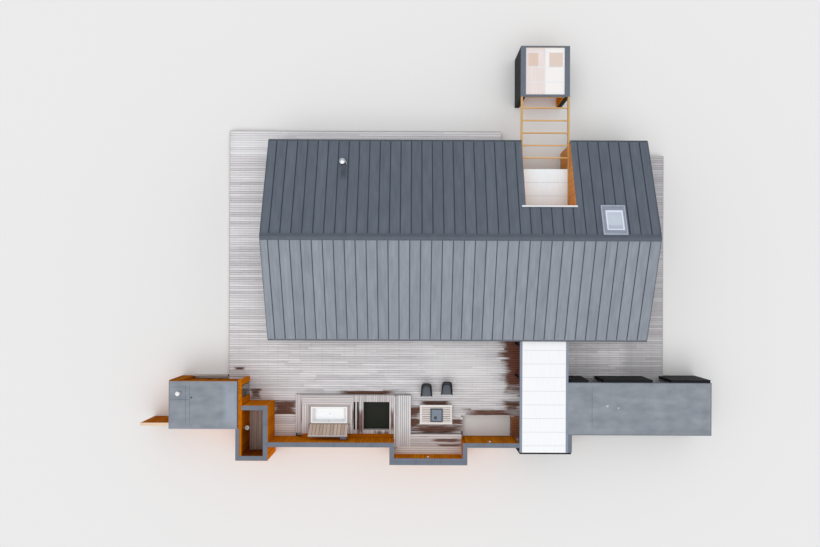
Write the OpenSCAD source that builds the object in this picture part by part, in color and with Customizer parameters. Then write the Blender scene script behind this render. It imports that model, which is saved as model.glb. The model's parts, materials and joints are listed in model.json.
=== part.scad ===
// Single-storey beach house with a standing-seam gable roof, a notched entry,
// a raised timber terrace, a bath house, a store and screened seating.
// All sizes are millimetres. The origin is the centre of the house at ground level,
// +X points east along the ridge, +Y points north and +Z up.

/* [House] */
// Length of the house over its end walls
house_l = 19200; // [16000:100:22000]
// Width of the house over its long walls
house_w = 9900; // [9000:100:11000]
// Thickness of the outer walls
wall_t = 250; // [180:10:320]
// Height of the floor above the ground
floor_h = 370; // [340:10:420]
// Height of the roof edge above the ground
eave_h = 2700; // [2680:10:2900]
// Slope of the roof in degrees
roof_pitch = 25; // [20:1:32]
// Thickness of the insulated roof panels
roof_t = 220; // [160:10:240]
// Distance that the roof stands out over the long walls
eave_out = 120; // [60:10:250]
// Distance that the roof stands out over the end walls
verge_out = 115; // [60:5:250]

/* [Roof covering] */
// Thickness of the metal covering with its underlay
sheet_t = 14; // [8:1:25]
// Distance from one standing seam to the next
seam_pitch = 530; // [430:10:600]
// Height of a standing seam
seam_h = 38; // [25:1:50]
// Width of a standing seam
seam_w = 18; // [10:1:30]
// First seam of the south slope, from the west verge
seam_first_south = 375; // [200:5:500]
// First seam of the north slope, from the west verge
seam_first_north = 440; // [200:5:500]
// Width of each wing of the ridge cap
ridge_cap_w = 170; // [120:10:240]
// Thickness of folded metal trims
trim_t = 6; // [3:1:10]
// Depth of the verge trims
verge_d = 240; // [200:10:300]
// Width of the eaves gutters
gutter_w = 90; // [70:5:120]
// Depth of the eaves gutters
gutter_d = 80; // [60:5:100]

/* [Entry] */
// West side of the entry notch, east of the house centre
notch_x = 3250; // [2800:50:3800]
// Width of the entry notch
notch_w = 2500; // [2200:50:2700]
// Depth of the entry notch from the north wall
notch_d = 3310; // [3000:10:3800]
// Height of the porch slab under the entry canopy
porch_h = 180; // [120:10:240]
// Depth of the clear canopy inside the notch
entry_canopy_d = 2080; // [1800:20:2400]
// Thickness of the clear canopy sheets
sheet_roof_t = 16; // [10:1:32]
// Height of the flat roofs, canopies and screens above the ground
datum_h = 2450; // [2400:10:2450]
// Width of the pergola beams
pergola_beam_w = 90; // [70:5:120]
// Depth of the pergola beams
pergola_beam_d = 200; // [150:10:240]
// Height of the pergola above the shelter roof
pergola_up = 50; // [20:5:80]
// Distance from the clear canopy to the first pergola rafter
rafter_first = 570; // [400:10:700]
// Distance from one pergola rafter to the next
rafter_pitch = 643; // [560:1:660]
// Width of a pergola rafter
rafter_w = 55; // [40:5:70]
// Depth of a pergola rafter
rafter_d = 120; // [90:10:150]
// Distance from the house to the gate shelter
shelter_gap = 2490; // [2400:10:2800]
// Length of the gate shelter
shelter_l = 2610; // [2200:10:3000]
// Thickness of the gate shelter walls
shelter_wall_t = 230; // [150:10:260]
// Width of the beam over the shelter's house side
shelter_head_w = 125; // [90:5:160]
// Width of the beam over the shelter's gate side
shelter_tail_w = 60; // [45:5:90]
// Distance that the white strip behind the notch runs on to the west
flashing_west = 190; // [100:10:240]
// Distance that the white strip behind the notch runs on to the east
flashing_east = 50; // [20:10:120]

/* [Skylight and flue] */
// Width of the skylight along the ridge
skylight_w = 1180; // [900:20:1300]
// Length of the skylight up the slope
skylight_l = 1640; // [1200:20:1700]
// Height of the skylight kerb above the roof
skylight_h = 110; // [60:10:160]
// Distance from the east end wall to the middle of the skylight
skylight_in = 2100; // [1600:50:2600]
// North of the ridge to the middle of the skylight
skylight_y = 860; // [850:5:1100]
// Outer diameter of the flue pipe
flue_d = 200; // [150:10:250]
// Height of the flue above the roof
flue_h = 760; // [600:20:1000]
// Distance from the west end wall to the flue
flue_in = 3790; // [2600:10:4600]
// North of the ridge to the flue
flue_y = 3820; // [3000:20:4200]

/* [Doors and windows] */
// Height of the window and door heads above the floor
head_h = 2040; // [1950:10:2060]
// Width of a small window in the north wall
window_w = 1000; // [700:50:1300]
// Height of a small window
window_h = 800; // [500:50:1100]
// Distance from an end wall to the middle of the nearest small window
window_in = 1900; // [1500:50:2300]
// Distance from one north window to the next
window_step = 3400; // [3000:50:3500]
// Width of a terrace door set
terrace_door_w = 3000; // [2400:100:3400]
// Distance from the west end wall to the middle of the first terrace door set
terrace_door_in = 3200; // [2400:50:3600]
// Distance from one terrace door set to the next
terrace_door_step = 5100; // [4500:50:5600]
// Width of the glazed door to the covered way
side_door_w = 1100; // [900:50:1300]
// Width of the front door
front_door_w = 1100; // [900:50:1300]
// Width of the window in the west end wall
west_window_w = 3200; // [2400:100:3800]
// Width of the window in the east end wall
east_window_w = 2000; // [1200:100:2800]
// Width of the window frame members
frame_w = 60; // [45:5:80]
// Depth of the window frames
frame_d = 80; // [60:5:120]
// Thickness of the insulating glass
glass_t = 24; // [16:2:40]
// Distance of the frames behind the outer face
frame_set = 60; // [30:5:80]

/* [Terrace] */
// Height of the deck above the ground
deck_h = 350; // [320:10:370]
// Thickness of the deck boards
board_t = 28; // [22:1:40]
// Gap between neighbouring deck panels
deck_joint = 0.6; // [0.4:0.1:0.8]
// Width of the deck on the west side
deck_west = 2610; // [2200:10:3000]
// Width of the deck on the north side
deck_north = 1090; // [900:10:1400]
// Width of the deck on the east side
deck_east = 1650; // [1300:10:2000]
// Depth of the deck in front of the two annexes
deck_south = 2200; // [1900:10:2600]
// Clear gap from the north deck to the entry notch
north_deck_gap = 790; // [400:10:1200]
// Distance that the east deck stops short of the north wall
east_deck_back = 170; // [50:10:400]
// Depth of the terrace from the annex line to the wind screen
terrace_d = 3320; // [3250:10:3600]
// Width of the deck joists
joist_w = 45; // [40:5:60]
// Depth of the deck joists
joist_d = 195; // [145:5:220]
// Distance from one joist to the next
joist_pitch = 600; // [500:50:800]
// Side of a deck pier
pier_w = 150; // [120:10:200]
// Distance from one pier to the next
pier_pitch = 2400; // [1800:100:3000]

/* [Wind screen] */
// Thickness of the screen walls
screen_t = 150; // [110:5:180]
// Thickness of the metal copings
coping_t = 24; // [12:2:40]
// Distance that a coping stands out over each wall face
coping_out = 45; // [20:5:70]
// Distance that the court's copings stand out over the court
court_coping_in = 85; // [20:5:100]
// Length of the screen beside the planting bed
bed_bay_l = 2885; // [2800:5:3000]
// Length of the seating niche between its side walls
niche_l = 3630; // [3400:10:3800]
// Depth of the niche behind the screen line
niche_d = 800; // [740:10:860]
// Thickness of the niche's back wall
niche_wall_t = 255; // [200:5:300]
// Width of the planting bed opening
bed_l = 2600; // [2300:10:2600]
// Distance from the niche to the planting bed
bed_in = 85; // [60:5:120]
// Depth of the planting bed opening, from the screen
bed_d = 1140; // [800:10:1150]
// Width of a wall light
light_w = 120; // [80:10:180]
// Height of a wall light
light_h = 80; // [50:10:120]
// Distance that a wall light stands out from its wall
light_d = 90; // [60:5:110]
// Distance from a wall light down from the top of the coping
light_drop = 340; // [200:10:600]
// Distance from the covered way to the light over the planting bed
bed_light_in = 1490; // [900:10:1900]
// Distance from the niche's west side to its light
niche_light_in = 1800; // [1200:10:2200]

/* [Terrace furniture] */
// Height of the benches and the spa platform above the deck
seat_h = 450; // [400:10:500]
// Depth of the bench along the platform
seat_d = 905; // [700:5:950]
// Depth of the bench along the screen
long_seat_d = 1005; // [820:5:1050]
// Thickness of the bench and platform tops
top_t = 45; // [30:5:60]
// Distance that bench tops stand out over their fronts
top_out = 20; // [10:5:30]
// Height of the sloping bench backs above the seats
back_h = 350; // [250:10:450]
// Width of the flat top of the bench backs
back_rail_w = 70; // [45:5:90]
// Depth of the back of the bench along the platform
back_d = 215; // [150:5:240]
// Depth of the back of the bench along the screen
long_back_d = 345; // [250:5:380]
// Length of the spa platform
platform_l = 4935; // [4900:5:5200]
// Depth of the spa platform
platform_d = 2280; // [2200:10:2400]
// Gap between the spa platform and the screen
platform_gap = 220; // [150:10:240]
// Width of the step beside the spa platform
step_w = 380; // [300:10:450]
// Length of the spa tub
tub_l = 1960; // [1600:10:2000]
// Width of the spa tub
tub_w = 880; // [800:10:1000]
// Width of the spa tub's rim
tub_rim = 90; // [60:5:120]
// Height of the tub's rim above the platform
tub_up = 60; // [30:5:80]
// Distance from the platform's west edge to the tub
tub_west = 480; // [400:10:560]
// Distance from the platform's north edge to the tub
tub_north = 610; // [500:10:640]
// Depth of the tub below the platform
tub_d = 560; // [450:10:640]
// Distance that the slatted cover overlaps the tub's rim all round
cover_lap = 60; // [40:5:80]
// Thickness of the slatted tub cover
cover_t = 50; // [40:5:60]
// Angle of the opened cover behind upright, in degrees
cover_lean = 30; // [25:1:34]
// Length of the sunken trough between the tub and the planter
trough_l = 285; // [200:5:320]
// Distance from the planter to the trough
trough_gap = 245; // [200:5:280]
// Length of the planter opening in the platform
planter_l = 1400; // [1200:10:1450]
// Depth of the planter opening in the platform
planter_d = 1500; // [1200:5:1600]
// Distance from the platform's north edge to the planter
planter_north = 355; // [300:5:420]
// Distance from the platform's east edge to the planter
planter_east = 245; // [200:5:300]
// Length of the fire table
table_l = 1740; // [1500:10:1800]
// Width of the fire table
table_w = 1040; // [900:10:1100]
// Height of the fire table above the deck
table_h = 400; // [350:10:480]
// Length of the fire box in the table
fire_box_l = 660; // [500:10:800]
// Width of the fire box in the table
fire_box_w = 725; // [500:5:800]
// Distance from the bench along the platform to the table
table_in = 480; // [400:10:600]
// Distance from the table to the bench along the screen
table_gap = 525; // [400:5:700]
// Width of a lounge chair over its arms
chair_w = 620; // [560:10:700]
// Depth of a lounge chair
chair_d = 740; // [680:10:800]
// Height of a lounge chair's back above the deck
chair_h = 720; // [660:10:800]
// Height of a lounge chair's seat above the deck
chair_seat_h = 400; // [360:10:440]
// Distance from the table's west edge to the middle of the first lounge chair
chair_in = 330; // [310:10:400]
// Distance from one lounge chair to the next
chair_pitch = 1100; // [800:20:1400]
// Distance from the table to the first lounge chair
chair_gap = 450; // [300:10:600]
// Distance that the second lounge chair stands further from the table
chair_shift = 85; // [0:5:120]

/* [Covered way and store] */
// Distance from the eaves to the first glazing bar of the covered way
bar_first = 555; // [400:5:600]
// Distance from one glazing bar of the covered way to the next
bar_pitch = 703; // [600:1:800]
// Width of a glazing bar
bar_w = 45; // [35:5:60]
// Depth of a glazing bar
bar_d = 70; // [50:5:90]
// Width of the side trims of the canopies
side_trim_w = 130; // [90:10:160]
// Distance that the covered way runs on past the wind screen
walk_end = 430; // [380:10:600]
// Side of the canopy and store posts
post_w = 90; // [70:5:120]
// Distance from the eaves to the first canopy posts
post_in = 280; // [150:10:450]
// Length of the store
store_l = 7380; // [6500:20:8000]
// Width of the store
store_w = 2840; // [2600:20:3200]
// Thickness of the annex walls
annex_wall_t = 125; // [100:5:150]
// Thickness of the flat annex roofs
flat_roof_t = 140; // [100:10:180]
// Width of the store's west doorway
store_door_w = 780; // [700:10:900]
// Width of the store's east doorway
store_gate_w = 960; // [800:10:1100]
// Distance from the store's west wall to its west doorway
store_door_in = 920; // [800:10:1100]
// Length of wall between the store's doorways
store_pier_l = 2530; // [2200:10:2800]
// Depth of the open rack behind the store
rack_d = 900; // [600:20:1100]
// Thickness of the store's boarded floor with its joists
store_floor_t = 150; // [120:5:180]
// Distance that the store's roof stands out over its east wall
store_edge = 20; // [20:5:60]

/* [Bath house] */
// Length of the bath house
bath_l = 3740; // [3400:20:4000]
// Width of the bath house
bath_w = 2490; // [2300:10:2600]
// Distance from the annex line to the bath house
bath_back = 100; // [60:10:160]
// Distance from the deck's west edge to the bath house's east wall
bath_in = 1110; // [900:10:1300]
// Thickness of the bath house's east wall
bath_east_wall_t = 190; // [125:5:200]
// Depth of the recess along the bath house's north side
bath_recess_d = 150; // [100:10:200]
// Width of the pier at the west end of that recess
bath_pier_w = 700; // [500:10:900]
// Thickness of the fascia over that recess
bath_fascia_t = 80; // [45:5:100]
// Width of the step in front of that recess
bath_step_w = 90; // [60:5:95]
// Distance from that step to the deck
bath_step_gap = 70; // [30:10:150]
// Width of the glass door
bath_door_w = 620; // [560:10:680]
// Height of the glass door
bath_door_h = 1980; // [1900:10:1980]
// Thickness of the glass door
bath_door_t = 12; // [10:1:20]
// Clearance round the glass door
door_gap = 8; // [6:1:12]
// Width of the court beside the bath house
court_w = 1350; // [1200:10:1500]
// Distance from the bath house's north side to the court
court_back = 1290; // [1200:10:1320]
// Length of the court
court_l = 2830; // [2700:10:3000]
// Thickness of the court's west wall
court_west_t = 260; // [150:10:300]
// Width of that wall's top beside its coping
court_ledge_w = 105; // [60:5:120]
// Diameter of the shower head
shower_d = 240; // [180:10:300]
// Distance from the court's north wall to the shower
shower_in = 1020; // [800:10:1400]
// Distance that the shower head stands out from the wall
shower_out = 260; // [200:10:350]
// Distance of the shower arm below the top of the coping
shower_drop = 200; // [150:10:400]
// Length of the fence beside the bath house
fence_l = 1500; // [1200:20:2000]
// Thickness of the fence
fence_t = 150; // [80:10:160]
// Distance from the bath house's south side to the fence
fence_back = 300; // [150:10:450]
// Diameter of the vent cap on the bath house
vent_d = 230; // [150:10:250]
// Distance from the bath house's west side to the vent
vent_in = 570; // [400:10:800]
// Distance from the bath house's north side to the vent
vent_back = 640; // [450:10:900]

/* [Hidden] */
$fn = 48;

// Main lines of the house and its roof
house_x = house_l / 2;
house_y = house_w / 2;
roof_x = house_x + verge_out;
eave_y = house_y + eave_out;
slope = tan(roof_pitch);
sheet_v = sheet_t / cos(roof_pitch);
panel_v = roof_t / cos(roof_pitch);
cassette_joint = 4;
// Clearance where sloping faces lie on one another
seat_gap = 0.3;
trim_v = trim_t / cos(roof_pitch);
notch_x1 = notch_x + notch_w;
notch_y = house_y - notch_d;
recess_wall_t = 150;
skylight_x = house_x - skylight_in;
flue_x = -house_x + flue_in;
// Width of the kerb round the skylight's glass
skylight_kerb = 90;
pergola_z = datum_h + pergola_up;
shelter_y = house_y + shelter_gap;
shelter_y1 = shelter_y + shelter_l;
canopy_y1 = -eave_y - seat_gap;

// Main lines of the terrace and annexes
deck_x0 = -house_x - deck_west;
deck_x1 = house_x + deck_east;
deck_y1 = house_y + deck_north;
annex_y = -house_y - deck_south;
screen_y = annex_y - terrace_d;
walk_y = screen_y - walk_end;
niche_x1 = notch_x - bed_bay_l;
niche_x0 = niche_x1 - niche_l;
niche_y = screen_y - niche_d;
bench_y1 = niche_y + long_seat_d;
seat_z = deck_h + seat_h;
frame_top = deck_h - board_t;
store_x1 = notch_x1 + store_l;
store_wall_x1 = store_x1 - store_edge;
store_y = annex_y - store_w;
bath_x1 = deck_x0 + bath_in;
bath_x0 = bath_x1 - bath_l;
bath_y1 = annex_y - bath_back;
bath_y0 = bath_y1 - bath_w;
court_x1 = bath_x1 + court_w;
court_y1 = bath_y1 - court_back;
court_y0 = court_y1 - court_l;
platform_x1 = niche_x0;
platform_x0 = platform_x1 - platform_l;
platform_y0 = screen_y + platform_gap;
platform_y = screen_y + platform_d;
wall_top = datum_h - coping_t;

// Lines of the covered way's glazing joints, from the eaves to its end
joint_n = floor((canopy_y1 - bar_first - walk_y - 2 * bar_w) / bar_pitch);
canopy_joints = [for (i = [0:joint_n]) canopy_y1 - bar_first - i * bar_pitch];
// Gap between neighbouring clear sheets
sheet_joint = 8;

// Windows of the long walls: centre along X, width, height of the sill above the floor
sill_h = head_h - window_h;
terrace_openings = [
  for (i = [0, 1])
    [-house_x + terrace_door_in + i * terrace_door_step, terrace_door_w, 0],
  [notch_x + notch_w / 2, side_door_w, 0],
  [house_x - window_in, window_w, sill_h]
];
north_openings = [
  for (i = [0:2]) [-house_x + window_in + i * window_step, window_w, sill_h],
  [house_x - window_in, window_w, sill_h]
];

// Height of the roof's top surface at a distance from the ridge line
function roof_z(y) = eave_h + (eave_y - abs(y)) * slope;
// Height of the underside of the roof panels
function ceiling_z(y) = roof_z(y) - sheet_v - panel_v - 2 * seat_gap;

// Box from one corner to the other
module block(a, b) {
  translate(a) cube(b - a);
}

// Extrudes an outline drawn in Y and Z along X
module along_x(x0, x1) {
  translate([x0, 0, 0]) rotate([90, 0, 90]) linear_extrude(height = x1 - x0) children();
}

// Outline of a band that follows one slope, a drop below the roof's top surface
module slope_band(side, y0, y1, drop, thick) {
  polygon([
    [side * y0, roof_z(y0) - drop], [side * y1, roof_z(y1) - drop],
    [side * y1, roof_z(y1) - drop - thick], [side * y0, roof_z(y0) - drop - thick]
  ]);
}

// Outline of a long wall under the slope
module wall_section(side) {
  inner = house_y - wall_t;
  polygon([
    [side * inner, floor_h], [side * house_y, floor_h],
    [side * house_y, ceiling_z(house_y)], [side * inner, ceiling_z(inner)]
  ]);
}

// House

module foundation_slab() {
  color("#8f8d88") difference() {
    block([-house_x, -house_y, 0], [house_x, house_y, floor_h]);
    block([notch_x, notch_y, porch_h], [notch_x1, house_y + 1, floor_h + 1]);
    block([notch_x, notch_y + entry_canopy_d, -1], [notch_x1, house_y + 1, porch_h + 1]);
  }
}

module long_wall_hole(side, opening) {
  x = opening[0];
  w = opening[1];
  y0 = side * (house_y - wall_t / 2);
  translate([x, y0, floor_h + opening[2] + (head_h - opening[2]) / 2])
    cube([w, wall_t + 2, head_h - opening[2]], center = true);
}

module north_wall() {
  color("#1b1c1e") difference() {
    union() {
      along_x(-house_x, notch_x) wall_section(1);
      along_x(notch_x1, house_x) wall_section(1);
    }
    for (o = north_openings) long_wall_hole(1, o);
  }
}

module south_wall() {
  color("#1b1c1e") difference() {
    along_x(-house_x, house_x) wall_section(-1);
    for (o = terrace_openings) long_wall_hole(-1, o);
  }
}

// End wall outline between the two long walls, up to the roof panels
module gable_outline() {
  inner = house_y - wall_t;
  polygon([
    [-inner, floor_h], [inner, floor_h], [inner, ceiling_z(inner)],
    [0, ceiling_z(0)], [-inner, ceiling_z(inner)]
  ]);
}

module gable_walls() {
  color("#1b1c1e") {
    difference() {
      along_x(-house_x, -house_x + wall_t) gable_outline();
      translate([-house_x - 1, -west_window_w / 2, floor_h])
        cube([wall_t + 2, west_window_w, head_h]);
    }
    difference() {
      along_x(house_x - wall_t, house_x) gable_outline();
      translate([house_x - wall_t - 1, -east_window_w / 2, floor_h])
        cube([wall_t + 2, east_window_w, head_h]);
    }
  }
}

// Recess walls run from the floor to the roof covering, which they carry round the notch
module recess_wall_outline(y0, y1) {
  polygon([
    [y0, floor_h], [y1, floor_h], [y1, ceiling_z(y1)], [y0, ceiling_z(y0)]
  ]);
}

module recess_side_walls() {
  inner = house_y - wall_t;
  color("#b5651d") {
    along_x(notch_x - recess_wall_t, notch_x) recess_wall_outline(notch_y, inner);
    along_x(notch_x1, notch_x1 + recess_wall_t) recess_wall_outline(notch_y, inner);
  }
}

module recess_back_wall() {
  y0 = notch_y - recess_wall_t;
  x = notch_x + notch_w / 2;
  color("#b5651d") difference() {
    along_x(notch_x - recess_wall_t, notch_x1 + recess_wall_t)
      recess_wall_outline(y0, notch_y);
    translate([x - front_door_w / 2, y0 - 1, floor_h])
      cube([front_door_w, recess_wall_t + 2, head_h]);
  }
}

module front_door() {
  x = notch_x + notch_w / 2;
  leaf_t = 60;
  leaf_y = notch_y - recess_wall_t / 2;
  pull_l = 600;
  pull_d = 30;
  pull_out = 50;
  pull_x = x + front_door_w / 2 - 120;
  pull_z = floor_h + 1000;
  color("#2a2c2f") {
    translate([x - front_door_w / 2, leaf_y - leaf_t / 2, floor_h])
      cube([front_door_w, leaf_t, head_h]);
    translate([pull_x, leaf_y + leaf_t / 2 + pull_out, pull_z - pull_l / 2])
      cylinder(d = pull_d, h = pull_l);
    for (z = [pull_z - pull_l / 3, pull_z + pull_l / 3])
      translate([pull_x, leaf_y + leaf_t / 2, z])
        rotate([-90, 0, 0]) cylinder(d = pull_d / 2, h = pull_out);
  }
}

// Frame ring with a mullion every bay, standing in the XZ plane with its low corner at the origin
module frame_ring(w, h, bays) {
  bay = (w - frame_w) / bays;
  difference() {
    cube([w, frame_d, h]);
    for (i = [0:bays - 1])
      translate([frame_w + i * bay, -1, frame_w])
        cube([bay - frame_w, frame_d + 2, h - 2 * frame_w]);
  }
}

// Panes that fill a frame ring
module frame_panes(w, h, bays) {
  bay = (w - frame_w) / bays;
  for (i = [0:bays - 1])
    translate([frame_w + i * bay, (frame_d - glass_t) / 2, frame_w])
      cube([bay - frame_w, glass_t, h - 2 * frame_w]);
}

function bays(w) = max(1, round(w / 1000));

// Puts a ring or its panes into every opening of the house
module each_window(panes) {
  for (o = north_openings)
    translate([o[0] - o[1] / 2, house_y - frame_set - frame_d, floor_h + o[2]])
      window_unit(o[1], head_h - o[2], panes);
  for (o = terrace_openings)
    translate([o[0] - o[1] / 2, -house_y + frame_set, floor_h + o[2]])
      window_unit(o[1], head_h - o[2], panes);
  translate([-house_x + frame_set + frame_d, -west_window_w / 2, floor_h])
    rotate([0, 0, 90]) window_unit(west_window_w, head_h, panes);
  translate([house_x - frame_set, -east_window_w / 2, floor_h])
    rotate([0, 0, 90]) window_unit(east_window_w, head_h, panes);
}

module window_unit(w, h, panes) {
  if (panes) frame_panes(w, h, bays(w));
  else frame_ring(w, h, bays(w));
}

module window_frames() {
  color("#26282b") each_window(false);
}

module window_glass() {
  color("#9fb4bd") each_window(true);
}

// Roof

module roof_panels() {
  top = sheet_v + seat_gap;
  g = cassette_joint / 2;
  edge = roof_x - trim_t;
  color("#b9a88a") {
    along_x(-edge, edge) slope_band(-1, g, eave_y, top, panel_v);
    along_x(-edge, notch_x - g) slope_band(1, g, eave_y, top, panel_v);
    along_x(notch_x + g, notch_x1 - g) slope_band(1, g, notch_y, top, panel_v);
    difference() {
      along_x(notch_x1 + g, edge) slope_band(1, g, eave_y, top, panel_v);
      skylight_block(skylight_kerb, -2 * roof_t, 1);
    }
  }
}

// Metal covering of one slope with its standing seams
module seamed_sheet(side, first) {
  edge = roof_x - trim_t;
  seams = floor((2 * roof_x - first - seam_w) / seam_pitch);
  along_x(-edge, edge) slope_band(side, 0, eave_y, 0, sheet_v);
  for (i = [0:seams]) {
    x = -roof_x + first + i * seam_pitch;
    along_x(x - seam_w / 2, x + seam_w / 2)
      slope_band(side, seam_w, eave_y, -seam_h, seam_h + sheet_v / 2);
  }
}

module roof_sheet_north() {
  color("#5c6672") difference() {
    seamed_sheet(1, seam_first_north);
    skylight_block(0, 0, 2 * skylight_h);
    skylight_block(skylight_kerb, -roof_t, 1);
    block([notch_x, notch_y, eave_h - 500], [notch_x1, eave_y + 1, roof_z(0) + 500]);
  }
}

module roof_sheet_south() {
  color("#8f98a3") seamed_sheet(-1, seam_first_south);
}

module ridge_cap() {
  edge = roof_x - trim_t;
  z = seam_h + seat_gap;
  skylight_joint = 5;
  color("#77818c") difference() {
    along_x(-edge, edge) union() {
      slope_band(1, 0, ridge_cap_w, -z - trim_v, trim_v);
      slope_band(-1, 0, ridge_cap_w, -z - trim_v, trim_v);
    }
    skylight_block(-skylight_joint, 0, 2 * skylight_h);
  }
}

// Folded trim over each gable edge of the roof
module verge_outline() {
  z = seam_h + trim_v;
  polygon([
    [-eave_y, eave_h + z], [0, roof_z(0) + z], [eave_y, eave_h + z],
    [eave_y, eave_h - verge_d], [0, roof_z(0) - verge_d], [-eave_y, eave_h - verge_d]
  ]);
}

module verge_trims() {
  color("#545d68") {
    along_x(-roof_x, -roof_x + trim_t) verge_outline();
    along_x(roof_x - trim_t, roof_x) verge_outline();
  }
}

// Open box gutter with closed ends, hung on the eaves
module gutter(x0, x1, side) {
  y0 = side > 0 ? eave_y : -eave_y - gutter_w;
  z = eave_h - sheet_v - gutter_d;
  difference() {
    block([x0, y0, z], [x1, y0 + gutter_w, z + gutter_d]);
    block([x0 + trim_t, y0 + trim_t, z + trim_t],
          [x1 - trim_t, y0 + gutter_w - trim_t, z + gutter_d + 1]);
  }
}

module gutters() {
  color("#3a4048") {
    gutter(-roof_x, roof_x, -1);
    gutter(-roof_x, notch_x, 1);
    gutter(notch_x1, roof_x, 1);
  }
}

// Pale cover strip on the roof edge behind the notch
module notch_flashing() {
  strip_w = 90;
  z = seam_h + seat_gap;
  color("#c9ced4") along_x(notch_x - flashing_west, notch_x1 + flashing_east)
    slope_band(1, notch_y - strip_w, notch_y, -z - trim_v, trim_v);
}

// Turns and lifts its children on to the north slope
module on_slope(x, y) {
  translate([x, y, roof_z(y)]) rotate([-roof_pitch, 0, 0]) children();
}

// Block over the skylight's outline, in the slope's own frame
module skylight_block(inset, z0, z1) {
  on_slope(skylight_x, skylight_y)
    translate([-skylight_w / 2 + inset, -skylight_l / 2 + inset, z0])
      cube([skylight_w - 2 * inset, skylight_l - 2 * inset, z1 - z0]);
}

module skylight_frame() {
  color("#aab2ba") difference() {
    skylight_block(0, 0, skylight_h);
    skylight_block(skylight_kerb, -1, skylight_h + 1);
  }
}

module skylight_glass() {
  sunk = 10;
  color("#c7d3dc") skylight_block(skylight_kerb, skylight_h - sunk - glass_t, skylight_h - sunk);
}

// Flue pipe on its base plate, with a rain cap
module flue() {
  plate = 470;
  foot_d = 340;
  collar_h = 60;
  stay_d = 12;
  cap_gap = 50;
  cap_d = 280;
  cap_h = 40;
  foot = roof_z(flue_y);
  below = 2 * foot;
  color("#c2c6ca") union() {
    on_slope(flue_x, flue_y) translate([-plate / 2, -plate / 2, seat_gap])
      cube([plate, plate, trim_t]);
    difference() {
      translate([flue_x, flue_y, 0]) {
        cylinder(d = flue_d, h = foot + flue_h);
        translate([0, 0, foot + collar_h]) cylinder(d1 = foot_d, d2 = flue_d, h = collar_h);
      }
      on_slope(flue_x, flue_y) translate([-below / 2, -below / 2, seat_gap - below]) cube(below);
    }
    translate([flue_x, flue_y, foot + flue_h]) {
      for (k = [0:2]) rotate([0, 0, 120 * k]) translate([flue_d / 2 - stay_d, 0, -1])
        cylinder(d = stay_d, h = cap_gap + 2);
      translate([0, 0, cap_gap]) cylinder(d1 = cap_d, d2 = flue_d / 2, h = cap_h);
    }
  }
}

// Entry

module entry_canopy_sheets() {
  n = 3;
  pitch = entry_canopy_d / n;
  color("#f4f5f6") for (i = [0:n - 1])
    block([notch_x, notch_y + i * pitch + sheet_joint / 2, datum_h - sheet_roof_t],
          [notch_x1 - pergola_beam_w, notch_y + (i + 1) * pitch - sheet_joint / 2, datum_h]);
}

module entry_canopy_bars() {
  n = 3;
  pitch = (entry_canopy_d - bar_w) / n;
  color("#d9dcdf") for (i = [0:n])
    block([notch_x, notch_y + i * pitch, datum_h - sheet_roof_t - bar_d],
          [notch_x1 - pergola_beam_w, notch_y + i * pitch + bar_w, datum_h - sheet_roof_t]);
}

// Line of the first pergola rafter
rafter_y = notch_y + entry_canopy_d + rafter_first;

module pergola_beams() {
  tail = 90;
  color("#d98a33") {
    block([notch_x, rafter_y - tail, pergola_z - pergola_beam_d],
          [notch_x + pergola_beam_w, shelter_y, pergola_z]);
    block([notch_x1 - pergola_beam_w, notch_y, pergola_z - pergola_beam_d],
          [notch_x1, shelter_y, pergola_z]);
  }
}

module pergola_rafters() {
  color("#e2a050") for (i = [0:4]) {
    y = rafter_y + i * rafter_pitch;
    block([notch_x + pergola_beam_w, y - rafter_w / 2, pergola_z - rafter_d],
          [notch_x1 - pergola_beam_w, y + rafter_w / 2, pergola_z]);
  }
}

module gate_shelter_walls() {
  color("#1b1c1e") {
    block([notch_x, shelter_y, 0], [notch_x + shelter_wall_t, shelter_y1, wall_top]);
    block([notch_x1 - shelter_wall_t, shelter_y, 0], [notch_x1, shelter_y1, wall_top]);
  }
}

// Clear sheet on ribs between two end beams
module gate_shelter_roof() {
  x0 = notch_x + shelter_wall_t;
  x1 = notch_x1 - shelter_wall_t;
  y0 = shelter_y + shelter_head_w;
  y1 = shelter_y1 - shelter_tail_w;
  rib_w = 50;
  rib_d = 120;
  sheet_drop = 20;
  rib_n = 3;
  top = wall_top - sheet_drop - sheet_roof_t;
  mid = (x0 + x1) / 2;
  color("#e6dcd8") union() {
    block([x0, y0, top], [x1, y1, top + sheet_roof_t]);
    block([x0, shelter_y, top - rib_d], [x1, y0, wall_top]);
    block([x0, y1, top - rib_d], [x1, shelter_y1, wall_top]);
    block([mid - rib_w / 2, y0, top - rib_d], [mid + rib_w / 2, y1, top]);
    for (i = [1:rib_n]) {
      y = y0 + i * (y1 - y0) / (rib_n + 1);
      block([x0, y - rib_w / 2, top - rib_d], [x1, y + rib_w / 2, top]);
    }
  }
}

// Covered way

module garden_canopy_sheets() {
  edges = concat([canopy_y1], canopy_joints, [walk_y]);
  g = sheet_joint / 2;
  color("#f4f5f6") for (i = [0:len(edges) - 2])
    block([notch_x + side_trim_w, edges[i + 1] + g, datum_h - sheet_roof_t],
          [notch_x1 - side_trim_w, edges[i] - g, datum_h]);
}

module garden_canopy_frame() {
  x0 = notch_x + side_trim_w;
  x1 = notch_x1 - side_trim_w;
  z1 = datum_h - sheet_roof_t;
  z0 = z1 - bar_d;
  color("#8d97a1") union() {
    block([notch_x, walk_y, z0], [x0, canopy_y1, datum_h]);
    block([x1, walk_y, z0], [notch_x1, canopy_y1, datum_h]);
    for (y = canopy_joints) block([x0, y - bar_w / 2, z0], [x1, y + bar_w / 2, z1]);
    for (y = [canopy_y1 - bar_w, walk_y]) block([x0, y, z0], [x1, y + bar_w, z1]);
  }
}

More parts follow.
